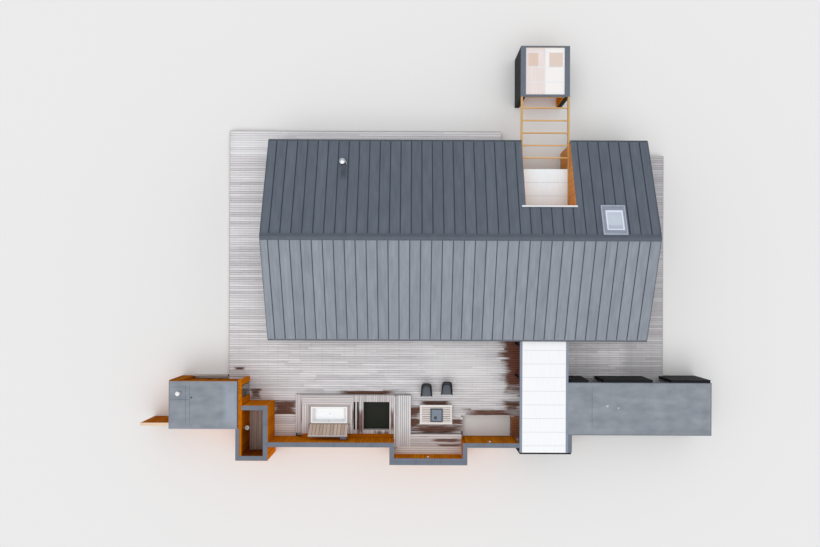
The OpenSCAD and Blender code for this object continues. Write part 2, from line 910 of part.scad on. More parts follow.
module garden_canopy_posts() {
  z1 = datum_h - sheet_roof_t - bar_d;
  first_y = canopy_y1 - post_in - post_w;
  color("#1b1c1e") {
    for (y = [first_y, annex_y, walk_y])
      block([notch_x, y, deck_h], [notch_x + post_w, y + post_w, z1]);
    block([notch_x1 - post_w, first_y, deck_h], [notch_x1, first_y + post_w, z1]);
  }
}

module covered_way_end() {
  color("#1b1c1e")
    block([notch_x, walk_y - annex_wall_t / 2, 0], [notch_x1 + screen_t, walk_y, datum_h]);
}

// Store

module store_roof() {
  color("#8f979f")
    block([notch_x1, store_y, datum_h - flat_roof_t], [store_x1, annex_y - annex_wall_t, datum_h]);
}

module store_long_walls() {
  z1 = datum_h - flat_roof_t;
  x0 = notch_x1 + annex_wall_t;
  x1 = store_wall_x1 - annex_wall_t;
  pier_x = x0 + store_door_in + store_door_w;
  y0 = annex_y - annex_wall_t;
  color("#1b1c1e") {
    block([x0, y0, 0], [x0 + store_door_in, annex_y, datum_h]);
    block([pier_x, y0, 0], [pier_x + store_pier_l, annex_y, datum_h]);
    block([pier_x + store_pier_l + store_gate_w, y0, 0], [x1, annex_y, datum_h]);
    block([x0, store_y + rack_d, 0], [x1, store_y + rack_d + annex_wall_t, z1]);
  }
}

module store_end_walls() {
  z1 = datum_h - flat_roof_t;
  color("#1b1c1e") {
    block([notch_x1, store_y, 0], [notch_x1 + annex_wall_t, annex_y, z1]);
    block([store_wall_x1 - annex_wall_t, store_y, 0], [store_wall_x1, annex_y, z1]);
  }
}

// Boarded floor between the walls, level with the deck and through both doorways
module store_floor() {
  x0 = notch_x1 + annex_wall_t;
  x1 = store_wall_x1 - annex_wall_t;
  y1 = annex_y - annex_wall_t;
  z0 = deck_h - store_floor_t;
  gate_x = x0 + store_door_in + store_door_w + store_pier_l;
  color("#b3aca6") union() {
    block([x0, store_y + rack_d + annex_wall_t, z0], [x1, y1, deck_h]);
    block([x0 + store_door_in, y1, z0], [x0 + store_door_in + store_door_w, annex_y, deck_h]);
    block([gate_x, y1, z0], [gate_x + store_gate_w, annex_y, deck_h]);
  }
}

module store_posts() {
  z1 = datum_h - flat_roof_t;
  n = 3;
  pitch = (store_l - 2 * annex_wall_t - post_w) / (n + 1);
  color("#1b1c1e") for (i = [1:n])
    block([notch_x1 + annex_wall_t + i * pitch, store_y, 0],
          [notch_x1 + annex_wall_t + i * pitch + post_w, store_y + post_w, z1]);
}

// Bath house

module bath_house_roof() {
  color("#949ca4")
    block([bath_x0, bath_y0, datum_h - flat_roof_t],
          [bath_x1 - bath_east_wall_t, bath_y1 - bath_fascia_t, datum_h]);
}

// Outer and inner faces of the recessed north wall, and the doorway in the east wall
bath_front_y = bath_y1 - bath_recess_d;
bath_room_y1 = bath_front_y - annex_wall_t;
bath_jamb = 10;
bath_door_y1 = bath_room_y1 - bath_jamb;
bath_door_y0 = bath_door_y1 - bath_door_w - 2 * door_gap;

module bath_house_long_walls() {
  z1 = datum_h - flat_roof_t;
  x0 = bath_x0 + annex_wall_t;
  x1 = bath_x1 - bath_east_wall_t;
  color("#b5651d") {
    block([x0, bath_y0, 0], [x1, bath_y0 + annex_wall_t, z1]);
    union() {
      block([x0, bath_room_y1, 0], [x1, bath_front_y, z1]);
      block([x0, bath_front_y, 0], [bath_x0 + bath_pier_w, bath_y1, z1]);
    }
  }
}

module bath_house_fascia() {
  color("#b5651d")
    block([bath_x0, bath_y1 - bath_fascia_t, datum_h - flat_roof_t],
          [bath_x1 - bath_east_wall_t, bath_y1, datum_h]);
}

module bath_house_end_walls() {
  x = bath_x1 - bath_east_wall_t;
  color("#b5651d") {
    block([bath_x0, bath_y0, 0], [bath_x0 + annex_wall_t, bath_y1, datum_h - flat_roof_t]);
    block([x, bath_y0, 0], [bath_x1, bath_door_y0, datum_h]);
    block([x, bath_door_y1, 0], [bath_x1, bath_y1, datum_h]);
  }
}

module bath_house_lintel() {
  z0 = deck_h + bath_door_h + 2 * door_gap;
  color("#b5651d")
    block([bath_x1 - bath_east_wall_t, bath_door_y0, z0], [bath_x1, bath_door_y1, datum_h]);
}

// Floor with its doorway, and the pale step between the pier and the deck
module bath_house_floor() {
  x = bath_x1 - bath_east_wall_t;
  color("#a39b92") {
    union() {
      block([bath_x0 + annex_wall_t, bath_y0 + annex_wall_t, 0], [x, bath_room_y1, deck_h]);
      block([x, bath_door_y0, 0], [bath_x1, bath_door_y1, deck_h]);
    }
    block([bath_x0 + bath_pier_w, bath_y1 + seat_gap, 0],
          [deck_x0 - bath_step_gap, bath_y1 + bath_step_w, deck_h]);
  }
}

// Hinge axis of the glass door and the sizes of its hinges
door_axis_x = bath_x1 + 14;
knuckle_r = 12;
knuckle_l = 60;
knuckle_gap = 0.3;
hinge_plate_t = 4;
hinge_plate_w = 60;
hinge_in = 260;
hinge_heights = [deck_h + hinge_in, deck_h + bath_door_h - hinge_in - knuckle_l];

module bath_door_hinges() {
  color("#30343a") for (z = hinge_heights) {
    block([bath_x1, bath_door_y1, z],
          [bath_x1 + hinge_plate_t, bath_door_y1 + hinge_plate_w, z + knuckle_l]);
    translate([door_axis_x, bath_door_y1, z]) cylinder(r = knuckle_r, h = knuckle_l);
  }
}

module bath_door_glass() {
  color("#a9c0c6") block(
    [bath_x1 - bath_door_t, bath_door_y0 + door_gap, deck_h + door_gap],
    [bath_x1, bath_door_y1 - door_gap, deck_h + door_gap + bath_door_h]);
}

module bath_door_fittings() {
  pull_d = 24;
  pull_l = 400;
  pull_out = 40;
  stem_in = 60;
  pull_y = bath_door_y0 + 90;
  pull_z = deck_h + 800;
  color("#30343a") {
    translate([bath_x1 + pull_out, pull_y, pull_z]) cylinder(d = pull_d, h = pull_l);
    for (z = [pull_z + stem_in, pull_z + pull_l - stem_in])
      translate([bath_x1, pull_y, z]) rotate([0, 90, 0]) cylinder(d = pull_d / 2, h = pull_out);
    for (h = hinge_heights) {
      z = h + knuckle_l + knuckle_gap;
      block([bath_x1, bath_door_y1 - door_gap - hinge_plate_w, z],
            [bath_x1 + hinge_plate_t, bath_door_y1, z + knuckle_l]);
      translate([door_axis_x, bath_door_y1, z]) cylinder(r = knuckle_r, h = knuckle_l);
    }
  }
}

module roof_vent() {
  flange_d = 360;
  flange_t = 8;
  pipe_h = 450;
  cap_h = 70;
  cap_over = 20;
  color("#f2f3f4") translate([bath_x0 + vent_in, bath_y1 - vent_back, datum_h]) {
    cylinder(d = flange_d, h = flange_t);
    cylinder(d = vent_d / 2, h = pipe_h);
    translate([0, 0, pipe_h - cap_over]) cylinder(d1 = vent_d, d2 = vent_d / 2, h = cap_h);
  }
}

module shower_fitting() {
  arm_d = 24;
  head_t = 40;
  y = court_y1 - screen_t - shower_in;
  z = datum_h - shower_drop;
  color("#c8ccd0") {
    translate([bath_x1, y, z]) rotate([0, 90, 0]) cylinder(d = arm_d, h = shower_out);
    translate([bath_x1 + shower_out, y, z - head_t + arm_d / 2]) cylinder(d = shower_d, h = head_t);
  }
}

module fence_panel() {
  y = bath_y0 + fence_back;
  color("#b5651d") block([bath_x0 - fence_l, y - fence_t, 0], [bath_x0, y, wall_top]);
}

// Screen walls of the terrace and the shower court

module screen_walls() {
  color("#b5651d") {
    block([niche_x1 + screen_t, screen_y - screen_t, 0], [notch_x, screen_y, wall_top]);
    block([niche_x0 - screen_t, niche_y - niche_wall_t, 0],
          [niche_x1 + screen_t, niche_y, wall_top]);
    block([court_x1, screen_y - screen_t, 0], [niche_x0 - screen_t, screen_y, wall_top]);
    block([bath_x1, court_y1 - screen_t, 0], [court_x1 - screen_t, court_y1, wall_top]);
    block([bath_x1, court_y0, 0], [court_x1 - screen_t, court_y0 + screen_t, wall_top]);
  }
}

module screen_returns() {
  color("#b5651d") {
    block([niche_x1, niche_y, 0], [niche_x1 + screen_t, screen_y, wall_top]);
    block([niche_x0 - screen_t, niche_y, 0], [niche_x0, screen_y, wall_top]);
    block([court_x1 - screen_t, court_y0, 0], [court_x1, court_y1, wall_top]);
    block([bath_x1 - court_west_t, court_y0, 0], [bath_x1, bath_y0, wall_top]);
    block([notch_x1, walk_y, 0], [notch_x1 + screen_t, store_y, wall_top]);
  }
}

// Coping over a wall, from corner to corner of the wall, with its own end overhangs
module coping(a, b, ends) {
  block([a[0] - ends[0], a[1] - ends[1], wall_top], [b[0] + ends[2], b[1] + ends[3], datum_h]);
}

// Copings lie over each wall, flush or set back by a joint where two meet
module wall_copings() {
  o = coping_out;
  inner = court_coping_in;
  joint = 4;
  butt = -o - joint;
  inner_butt = -inner - joint;
  over = 20;
  flush = -seat_gap;
  ledge_x = bath_x1 - court_ledge_w;
  x0 = notch_x + shelter_wall_t + over + joint;
  x1 = notch_x1 - shelter_wall_t - over - joint;
  color("#7e8894") {
    coping([niche_x1 + screen_t, screen_y - screen_t], [notch_x, screen_y], [butt, o, 0, o]);
    coping([niche_x0 - screen_t, niche_y - niche_wall_t], [niche_x1 + screen_t, niche_y], [o, o, o, o]);
    coping([court_x1, screen_y - screen_t], [niche_x0 - screen_t, screen_y], [-joint, o, butt, o]);
    coping([niche_x1, niche_y], [niche_x1 + screen_t, screen_y], [o, butt, o, o]);
    coping([niche_x0 - screen_t, niche_y], [niche_x0, screen_y], [o, butt, o, o]);
    coping([court_x1 - screen_t, court_y0], [court_x1, court_y1], [inner, 0, 0, 0]);
    coping([bath_x1, court_y1 - screen_t], [court_x1 - screen_t, court_y1], [0, inner, inner_butt, 0]);
    coping([ledge_x, court_y0], [court_x1 - screen_t, court_y0 + screen_t], [-joint, 0, inner_butt, inner]);
    coping([bath_x1 - court_west_t, court_y0], [ledge_x, bath_y0], [o, 0, 0, -joint]);
    coping([notch_x1, walk_y], [notch_x1 + screen_t, store_y], [-joint, -joint, o, -joint]);
    coping([notch_x, shelter_y], [notch_x + shelter_wall_t, shelter_y1], [over, flush, over, over]);
    coping([notch_x1 - shelter_wall_t, shelter_y], [notch_x1, shelter_y1], [over, flush, over, over]);
    coping([x0, shelter_y], [x1, shelter_y + shelter_head_w], [0, flush, 0, 0]);
    coping([x0, shelter_y1 - shelter_tail_w], [x1, shelter_y1], [0, 0, 0, over]);
  }
}

module wall_lights() {
  z = datum_h - light_drop;
  color("#f4f1e8") for (p = [[notch_x - bed_light_in, screen_y], [niche_x0 + niche_light_in, niche_y]])
    block([p[0] - light_w / 2, p[1], z - light_h], [p[0] + light_w / 2, p[1] + light_d, z]);
}

// Deck

// Every deck panel as its low and high corner
bed_x0 = niche_x1 + bed_in;
bed_y1 = screen_y + bed_d;
deck_panels = [
  [[deck_x0, annex_y], [-house_x, deck_y1]],
  [[-house_x, house_y], [notch_x - north_deck_gap, deck_y1]],
  [[house_x, annex_y], [deck_x1, house_y - east_deck_back]],
  [[-house_x, annex_y], [house_x, -house_y]],
  [[bath_x1, court_y1], [platform_x0 - step_w, annex_y]],
  [[deck_x0, bath_y1], [bath_x1, annex_y]],
  [[deck_x0, bath_front_y], [bath_x1 - bath_east_wall_t, bath_y1]],
  [[platform_x0 - step_w, platform_y], [notch_x1, annex_y]],
  [[court_x1, screen_y], [platform_x0 - step_w, court_y1]],
  [[niche_x0 + seat_d, bench_y1], [niche_x1, platform_y]],
  [[niche_x1, bed_y1], [notch_x, platform_y]],
  [[niche_x1, screen_y], [bed_x0, bed_y1]],
  [[bed_x0 + bed_l, screen_y], [notch_x, bed_y1]],
  [[notch_x, walk_y], [notch_x1, platform_y]],
  [[bath_x1, court_y0 + screen_t], [court_x1 - screen_t, court_y1 - screen_t]]
];

module deck_boards() {
  g = deck_joint / 2;
  color("#c4bfbc") for (p = deck_panels)
    block([p[0][0] + g, p[0][1] + g, frame_top], [p[1][0] - g, p[1][1] - g, deck_h]);
}

// Joists, rim boards and piers under one deck panel
module joist_panel(a, b) {
  w = b[0] - a[0];
  d = b[1] - a[1];
  n = max(1, ceil(w / joist_pitch));
  cell = (w - joist_w) / n;
  translate([a[0], a[1], frame_top - joist_d]) linear_extrude(height = joist_d) difference() {
    square([w, d]);
    if (d > 2.5 * joist_w && cell > 2 * joist_w) for (i = [0:n - 1])
      translate([joist_w + i * cell, joist_w]) square([cell - joist_w, d - 2 * joist_w]);
  }
  px = max(1, ceil(w / pier_pitch));
  py = max(1, ceil(d / pier_pitch));
  side_x = min(w, pier_w);
  side_y = min(d, pier_w);
  for (i = [0:px], j = [0:py]) {
    joist_x = round(i * n / px) * cell + (joist_w - side_x) / 2;
    x = min(max(joist_x, 0), w - side_x);
    translate([a[0] + x, a[1] + j * (d - side_y) / py, 0]) cube([side_x, side_y, frame_top - joist_d]);
  }
}

module deck_frame() {
  g = deck_joint / 2;
  color("#8a7f74") for (p = deck_panels)
    joist_panel([p[0][0] + g, p[0][1] + g], [p[1][0] - g, p[1][1] - g]);
}

// Terrace furniture

// Plan corners of the openings in the spa platform
tub_x0 = platform_x0 + tub_west;
tub_y1 = platform_y - tub_north;
planter_x1 = platform_x1 - planter_east;
planter_y1 = platform_y - planter_north;
trough_x1 = planter_x1 - planter_l - trough_gap;
tub_z0 = seat_z - tub_d;
cover_y = tub_y1 - tub_w - cover_lap;
cover_clear = 6;
cover_z = seat_z + tub_up + cover_clear;
cover_x0 = tub_x0 - cover_lap;
cover_l = tub_l + 2 * cover_lap;
cover_w = tub_w + 2 * cover_lap;

module spa_platform() {
  color("#bdb3ab") difference() {
    union() {
      block([platform_x0, platform_y0, 0], [platform_x1, platform_y, seat_z]);
      block([platform_x0 - step_w, platform_y0, 0], [platform_x0, platform_y, deck_h + seat_h / 2]);
    }
    block([tub_x0, tub_y1 - tub_w, tub_z0], [tub_x0 + tub_l, tub_y1, seat_z + 1]);
    block([planter_x1 - planter_l, planter_y1 - planter_d, deck_h], [planter_x1, planter_y1, seat_z + 1]);
    block([trough_x1 - trough_l, planter_y1 - planter_d, deck_h], [trough_x1, planter_y1, seat_z + 1]);
  }
}

module spa_tub() {
  top = seat_z + tub_up;
  color("#f3f4f5") difference() {
    block([tub_x0, tub_y1 - tub_w, tub_z0], [tub_x0 + tub_l, tub_y1, top]);
    block([tub_x0 + tub_rim, tub_y1 - tub_w + tub_rim, tub_z0 + tub_rim],
          [tub_x0 + tub_l - tub_rim, tub_y1 - tub_rim, top + 1]);
  }
}

// Slatted cover, hinged along the tub's south side and leaning open
module spa_cover() {
  handle = [300, 180, 60];
  handle_in = 60;
  handle_out = 120;
  color("#d8d0c6") translate([cover_x0, cover_y, cover_z]) rotate([90 + cover_lean, 0, 0]) union() {
    cube([cover_l, cover_w, cover_t]);
    translate([cover_l - handle[0] - handle_in, cover_w + handle_out - handle[1], cover_t])
      cube(handle);
    for (x = [0, cover_l - knuckle_l])
      translate([x, 0, 0]) rotate([0, 90, 0]) cylinder(r = knuckle_r, h = knuckle_l);
  }
}

// Pivot blocks at both ends of the cover
module spa_cover_hinges() {
  color("#5a6068") for (x = [cover_x0 - knuckle_gap - knuckle_l, cover_x0 + cover_l + knuckle_gap]) {
    block([x, cover_y - knuckle_r, seat_z], [x + knuckle_l, cover_y + knuckle_r, cover_z]);
    translate([x, cover_y, cover_z]) rotate([0, 90, 0]) cylinder(r = knuckle_r, h = knuckle_l);
  }
}

module terrace_bench() {
  z = seat_z;
  x1 = niche_x0 + seat_d;
  color("#c9c4c0") union() {
    block([niche_x0, niche_y, z - top_t], [x1, platform_y, z]);
    block([niche_x0, niche_y, 0], [x1 - top_out, platform_y - top_out, z - top_t]);
    block([x1, niche_y, z - top_t], [niche_x1, bench_y1, z]);
    block([x1 - top_out, niche_y, 0], [niche_x1, bench_y1 - top_out, z - top_t]);
  }
}

// Sloping back with a flat top rail, drawn as height over distance from the wall
module back_outline(depth) {
  polygon([[0, 0], [depth, 0], [back_rail_w, back_h], [0, back_h]]);
}

// Backs of both bench legs, the west one stopping at the south one
module bench_backs() {
  color("#d3c5bd") {
    translate([niche_x0, niche_y, seat_z]) rotate([90, 0, 90])
      linear_extrude(height = niche_l) back_outline(long_back_d);
    translate([niche_x0, platform_y, seat_z]) rotate([90, 0, 0])
      linear_extrude(height = platform_y - niche_y - long_back_d - seat_gap)
        back_outline(back_d);
  }
}

module fire_table() {
  x0 = niche_x0 + seat_d + table_in;
  y0 = bench_y1 + table_gap;
  z = deck_h + table_h;
  leg = 90;
  box_h = 60;
  color("#ddd6cf") union() {
    block([x0, y0, z - top_t], [x0 + table_l, y0 + table_w, z]);
    for (i = [0, 1], j = [0, 1])
      translate([x0 + i * (table_l - leg), y0 + j * (table_w - leg), deck_h])
        cube([leg, leg, table_h - top_t]);
    translate([x0 + (table_l - fire_box_l) / 2, y0 + (table_w - fire_box_w) / 2, z])
      cube([fire_box_l, fire_box_w, box_h]);
  }
}

// Plan outline of a lounge chair, narrower at its back, drawn in by the shell's thickness
module chair_outline(inset) {
  back_w = 0.76 * chair_w;
  front = inset > 0 ? -chair_d : -chair_d / 2;
  back = chair_d / 2 - inset;
  polygon([
    [-chair_w / 2 + inset, front], [chair_w / 2 - inset, front], [chair_w / 2 - inset, 0],
    [back_w / 2 - inset, back], [-back_w / 2 + inset, back], [-chair_w / 2 + inset, 0]
  ]);
}

// Shell chair that faces south, with a deep seat, arms that fall to the front and round legs
module lounge_chair() {
  shell_t = 55;
  shell_z = 250;
  arm_h = 520;
  leg_d = 32;
  leg_x = 200;
  leg_y = 240;
  union() {
    difference() {
      translate([0, 0, shell_z]) linear_extrude(height = chair_h - shell_z) chair_outline(0);
      translate([0, 0, chair_seat_h]) linear_extrude(height = chair_h) chair_outline(shell_t);
      along_x(-chair_w, chair_w) polygon([
        [-chair_d, arm_h], [-chair_d / 2, arm_h], [chair_d / 4, chair_h],
        [chair_d / 4, 2 * chair_h], [-chair_d, 2 * chair_h]
      ]);
    }
    for (x = [-leg_x, leg_x], y = [-leg_y, leg_y])
      translate([x, y, 0]) cylinder(d = leg_d, h = shell_z + 1);
  }
}

// The two chairs stand on the deck north of the fire table
module lounge_chairs() {
  x = niche_x0 + seat_d + table_in + chair_in;
  y = bench_y1 + table_gap + table_w + chair_gap + chair_d / 2;
  color("#22242a") for (i = [0, 1])
    translate([x + i * chair_pitch, y + i * chair_shift, deck_h]) lounge_chair();
}

foundation_slab();
north_wall();
south_wall();
gable_walls();
recess_side_walls();
recess_back_wall();
front_door();
window_frames();
window_glass();
roof_panels();
roof_sheet_north();
roof_sheet_south();
ridge_cap();
verge_trims();
gutters();
notch_flashing();
skylight_frame();
skylight_glass();
flue();
entry_canopy_sheets();
entry_canopy_bars();
pergola_beams();
pergola_rafters();
gate_shelter_walls();
gate_shelter_roof();
garden_canopy_sheets();
garden_canopy_frame();
garden_canopy_posts();
covered_way_end();
store_roof();
store_long_walls();
store_end_walls();
store_floor();
store_posts();
bath_house_roof();
bath_house_long_walls();
bath_house_end_walls();
bath_house_lintel();
bath_house_fascia();
bath_house_floor();
bath_door_glass();
bath_door_fittings();
bath_door_hinges();
roof_vent();
shower_fitting();
fence_panel();
screen_walls();
screen_returns();
wall_copings();
wall_lights();
deck_boards();
deck_frame();
spa_platform();
spa_tub();
spa_cover();
spa_cover_hinges();
terrace_bench();
bench_backs();
fire_table();
lounge_chairs();
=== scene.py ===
"""Dresses the beach house: boards, cladding, metalwork, glazing, terrace furniture and light."""

import json
import logging
import math
import random
from collections.abc import Callable, Iterator, Sequence
from contextlib import contextmanager
from dataclasses import dataclass, field
from enum import Enum
from itertools import pairwise

import bmesh
import bpy
import numpy as np
from mathutils import Matrix, Vector

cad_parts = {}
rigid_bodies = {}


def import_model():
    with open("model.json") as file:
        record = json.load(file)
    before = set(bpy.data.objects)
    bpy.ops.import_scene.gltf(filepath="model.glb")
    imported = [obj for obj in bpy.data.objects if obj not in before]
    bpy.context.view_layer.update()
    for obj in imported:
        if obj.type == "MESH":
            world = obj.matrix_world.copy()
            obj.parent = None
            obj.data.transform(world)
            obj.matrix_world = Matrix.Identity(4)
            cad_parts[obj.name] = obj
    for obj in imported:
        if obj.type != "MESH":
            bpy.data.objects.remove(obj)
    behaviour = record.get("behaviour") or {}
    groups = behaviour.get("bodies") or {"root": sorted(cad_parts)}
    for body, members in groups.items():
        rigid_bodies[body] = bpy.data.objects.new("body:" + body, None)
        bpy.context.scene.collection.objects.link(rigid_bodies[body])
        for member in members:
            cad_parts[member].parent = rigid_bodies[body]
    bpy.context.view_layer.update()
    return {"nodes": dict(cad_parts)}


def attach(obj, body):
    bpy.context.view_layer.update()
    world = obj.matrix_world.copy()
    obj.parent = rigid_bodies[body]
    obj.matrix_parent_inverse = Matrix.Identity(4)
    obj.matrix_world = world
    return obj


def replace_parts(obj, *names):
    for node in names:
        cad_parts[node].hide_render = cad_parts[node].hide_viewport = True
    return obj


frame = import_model()

Pair = tuple[float, float]
Vec = tuple[float, float, float]
Rect = tuple[float, float, float, float]
Wet = tuple[Rect, float]
Rake = Callable[[float], float]
Object = bpy.types.Object
Socket = bpy.types.NodeSocket
Tree = bpy.types.NodeTree

log = logging.getLogger("beach_house")


class Axis(Enum):
    """Direction in which boards or a grain run."""

    X = 0
    Y = 1
    Z = 2


class Body(Enum):
    """The bodies that pieces ride on."""

    HOUSE = "house"
    BATH_DOOR = "bath_door"
    SPA_COVER = "spa_cover"


# Main lines, in metres: house, roof, notch, flat roofs
HOUSE_X, HOUSE_Y, FLOOR, EAVE_Z, EAVE_Y, VERGE_X = 9.6, 4.95, 0.37, 2.7, 5.07, 9.715
PITCH, PANEL_T, SHEET_T = math.radians(25), 0.22, 0.014
SLOPE, RUN = math.tan(PITCH), math.cos(PITCH)
PANEL_DROP = (PANEL_T + SHEET_T) / RUN + 0.0006
NOTCH_X0, NOTCH_X1, NOTCH_Y = 3.25, 5.75, 1.64
DATUM, WALL_TOP, FLAT_T = 2.45, 2.426, 0.14
# Main lines of the terrace and annexes
DECK, DECK_X0, DECK_X1, DECK_Y1, ANNEX_Y = 0.35, -12.21, 11.25, 6.04, -7.15
SCREEN_Y, WALK_Y, NICHE_Y, NICHE_X0, NICHE_X1 = -10.47, -10.90, -11.27, -3.265, 0.365
STORE_X1, STORE_Y = 13.13, -9.99
BATH_X0, BATH_X1, BATH_Y0, BATH_Y1, BATH_EAST_T, BATH_RECESS = -14.84, -11.10, -9.74, -7.25, 0.19, 0.15
COURT_X1, COURT_Y0, COURT_Y1, SCREEN_T, COURT_WEST_T = -9.75, -11.37, -8.54, 0.15, 0.26
SEAT, PLATFORM_X0, PLATFORM_Y0, PLATFORM_Y, STEP_X0 = 0.80, -8.20, -10.25, -8.19, -8.58
BENCH_X1, BENCH_Y1, RIGHT_ANGLE = -2.36, -10.265, math.pi / 2
# Boards: thickness of cladding and of floors, foot of the cladding above ground, what a board keeps clear
BOARD_T, DECK_T, FOOT, EASE = 0.018, 0.028, 0.03, 0.004
BRIM, UNDER_FLAT = DATUM - EASE, DATUM - FLAT_T - 0.003


def roof_z(y: float) -> float:
    """Return the height of the roof's top surface at a distance from the ridge line."""
    return EAVE_Z + (EAVE_Y - abs(y)) * SLOPE


def ceiling_z(y: float) -> float:
    """Return the height of the underside of the roof panels."""
    return roof_z(y) - PANEL_DROP


# Colour and shader nodes


def linear(hex_code: str) -> tuple[float, float, float, float]:
    """Turn an sRGB hex colour to linear RGBA.

    Args:
        hex_code: Six hex digits, with or without a leading hash.

    Returns:
        The colour as Blender's sockets take it.
    """
    digits = hex_code.lstrip("#")
    parts = [int(digits[i:i + 2], 16) / 255 for i in (0, 2, 4)]
    rgb = [c / 12.92 if c <= 0.04045 else ((c + 0.055) / 1.055) ** 2.4 for c in parts]
    return rgb[0], rgb[1], rgb[2], 1.0


def add_node(tree: Tree, kind: str, inputs: dict | None = None, out: int | str = 0,
             **settings: object) -> Socket:
    """Add one node with its settings, values and links.

    Args:
        tree: Node tree that takes the node.
        kind: Blender's name of the node type, after its ShaderNode.
        inputs: Socket name or number to a value, a hex colour, or the socket that feeds it.
        out: Name or number of the output that is wanted.
        settings: Properties of the node.

    Returns:
        The wanted output of the new node.
    """
    node = tree.nodes.new(f"ShaderNode{kind}")
    for key, value in settings.items():
        setattr(node, key, value)
    for key, value in (inputs or {}).items():
        if isinstance(value, bpy.types.NodeSocket):
            tree.links.new(value, node.inputs[key])
        else:
            node.inputs[key].default_value = linear(value) if isinstance(value, str) else value
    return node.outputs[out]


def even(size_mm: float) -> Vec:
    """Return one feature size for all three directions."""
    return size_mm, size_mm, size_mm


@dataclass(frozen=True)
class Mark:
    """A soft-edged area of another colour, seen from above."""

    area: Rect
    tint: str
    strength: float = 1.0
    fade: float = 0.5


@dataclass(frozen=True)
class Finish:
    """A surface finish: two close colours that a noise of real size mixes, with fine relief."""

    title: str
    base: str
    second: str
    slot: str
    grain_mm: Vec = even(60.0)
    contrast: float = 0.5
    relief_mm: float = 0.3
    roughness: float = 0.5
    metallic: float = 0.0
    coat: float = 0.0
    transmission: float = 0.0
    ior: float = 1.5
    specular: float = 0.5
    marks: tuple[Mark, ...] = ()

    def place(self, tree: Tree) -> Socket:
        """Return the position socket that the pattern reads."""
        return add_node(tree, "TexCoord", out="Object")

    def noise(self, tree: Tree, place: Socket, size_mm: Vec, detail: float = 3.0) -> Socket:
        """Add a noise whose features have a real size.

        Args:
            tree: The material's nodes.
            place: Position socket in metres.
            size_mm: Size of the features along X, Y and Z.
            detail: Octaves of finer noise.

        Returns:
            The noise value, about 0.3 to 0.7.
        """
        scaled = add_node(tree, "VectorMath", {0: place, 1: [1000 / s for s in size_mm]},
                          operation="MULTIPLY")
        return add_node(tree, "TexNoise", {"Vector": scaled, "Scale": 1.0, "Detail": detail}, "Fac")

    def blend(self, tree: Tree, factor: Socket, *colours: Socket | str) -> Socket:
        """Return two colours, each a socket or a hex code, mixed by a factor."""
        return add_node(tree, "Mix", {0: factor, 6: colours[0], 7: colours[1]}, 2, data_type="RGBA")

    def nearness(self, tree: Tree, area: Rect, fade: float) -> Socket:
        """Return 1 inside an area and 0 outside it, with a soft edge.

        Args:
            tree: The material's nodes.
            area: Low and high corner in X and Y.
            fade: Share of the half width over which the edge fades.

        Returns:
            The value over the surface.
        """
        x0, y0, x1, y1 = area
        off = add_node(tree, "VectorMath", {0: add_node(tree, "TexCoord", out="Object"),
                                            1: [(x0 + x1) / 2, (y0 + y1) / 2, 0]}, operation="SUBTRACT")
        unit = add_node(tree, "VectorMath", {0: off, 1: [2 / (x1 - x0), 2 / (y1 - y0), 0]},
                        operation="MULTIPLY")
        sides = add_node(tree, "SeparateXYZ", {0: add_node(tree, "VectorMath", {0: unit},
                                                           operation="ABSOLUTE")}).node.outputs
        reach = add_node(tree, "Math", {0: sides[0], 1: sides[1]}, operation="MAXIMUM")
        return add_node(tree, "MapRange", {0: reach, 1: 1.0, 2: 1.0 - fade})

    def marked(self, tree: Tree, colour: Socket) -> Socket:
        """Lay every mark over a colour.

        Args:
            tree: The material's nodes.
            colour: The colour without marks.

        Returns:
            The colour with them.
        """
        for mark in self.marks:
            near = self.nearness(tree, mark.area, mark.fade)
            held = add_node(tree, "Math", {0: near, 1: mark.strength}, operation="MULTIPLY")
            colour = self.blend(tree, held, colour, mark.tint)
        return colour

    def colour(self, tree: Tree, place: Socket) -> Socket:
        """Mix the two colours by the noise.

        Args:
            tree: The material's nodes.
            place: Position socket in metres.

        Returns:
            The colour over the surface.
        """
        half = 0.5 * self.contrast
        factor = add_node(tree, "MapRange", {0: self.noise(tree, place, self.grain_mm), 1: 0.3, 2: 0.7,
                                             3: 0.5 - half, 4: 0.5 + half})
        return self.blend(tree, factor, self.base, self.second)

    def relief(self, tree: Tree, place: Socket) -> Socket:
        """Return the height over the surface, 0 to 1."""
        return self.noise(tree, place, tuple(s / 4 for s in self.grain_mm), 2.0)

    def material(self) -> bpy.types.Material:
        """Make this finish's material at its first use.

        Returns:
            The material.
        """
        made = bpy.data.materials.get(self.title)
        if made:
            return made
        made = bpy.data.materials.new(self.title)
        made.use_nodes = True
        tree = made.node_tree
        shader = tree.nodes["Principled BSDF"]
        place = self.place(tree)
        tree.links.new(self.marked(tree, self.colour(tree, place)), shader.inputs["Base Color"])
        values = {"Roughness": self.roughness, "Metallic": self.metallic, "Coat Weight": self.coat,
                  "Specular IOR Level": self.specular, "Transmission Weight": self.transmission}
        if self.metallic < 0.5:
            values["IOR"] = self.ior
        for name, value in values.items():
            shader.inputs[name].default_value = value
        if self.relief_mm:
            bump = add_node(tree, "Bump", {"Height": self.relief(tree, place),
                                           "Distance": self.relief_mm / 1000})
            tree.links.new(bump, shader.inputs["Normal"])
        return made

    def dress(self, obj: Object, body: Body = Body.HOUSE) -> Object:
        """Put this finish on a new piece and let it ride on a body.

        Args:
            obj: The piece.
            body: Body that carries it.

        Returns:
            The same piece.
        """
        obj.data.materials.clear()
        obj.data.materials.append(self.material())
        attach(obj, body.value)
        log.info("%s: %s, %d faces", obj.name, self.title, len(obj.data.polygons))
        return obj

    def cover(self, *names: str) -> None:
        """Put this finish on pieces that the frame already holds.

        Args:
            names: Names of their nodes.
        """
        for name in names:
            for material_slot in frame["nodes"][name].material_slots:
                material_slot.material = self.material()
            log.info("%s: %s", name, self.title)


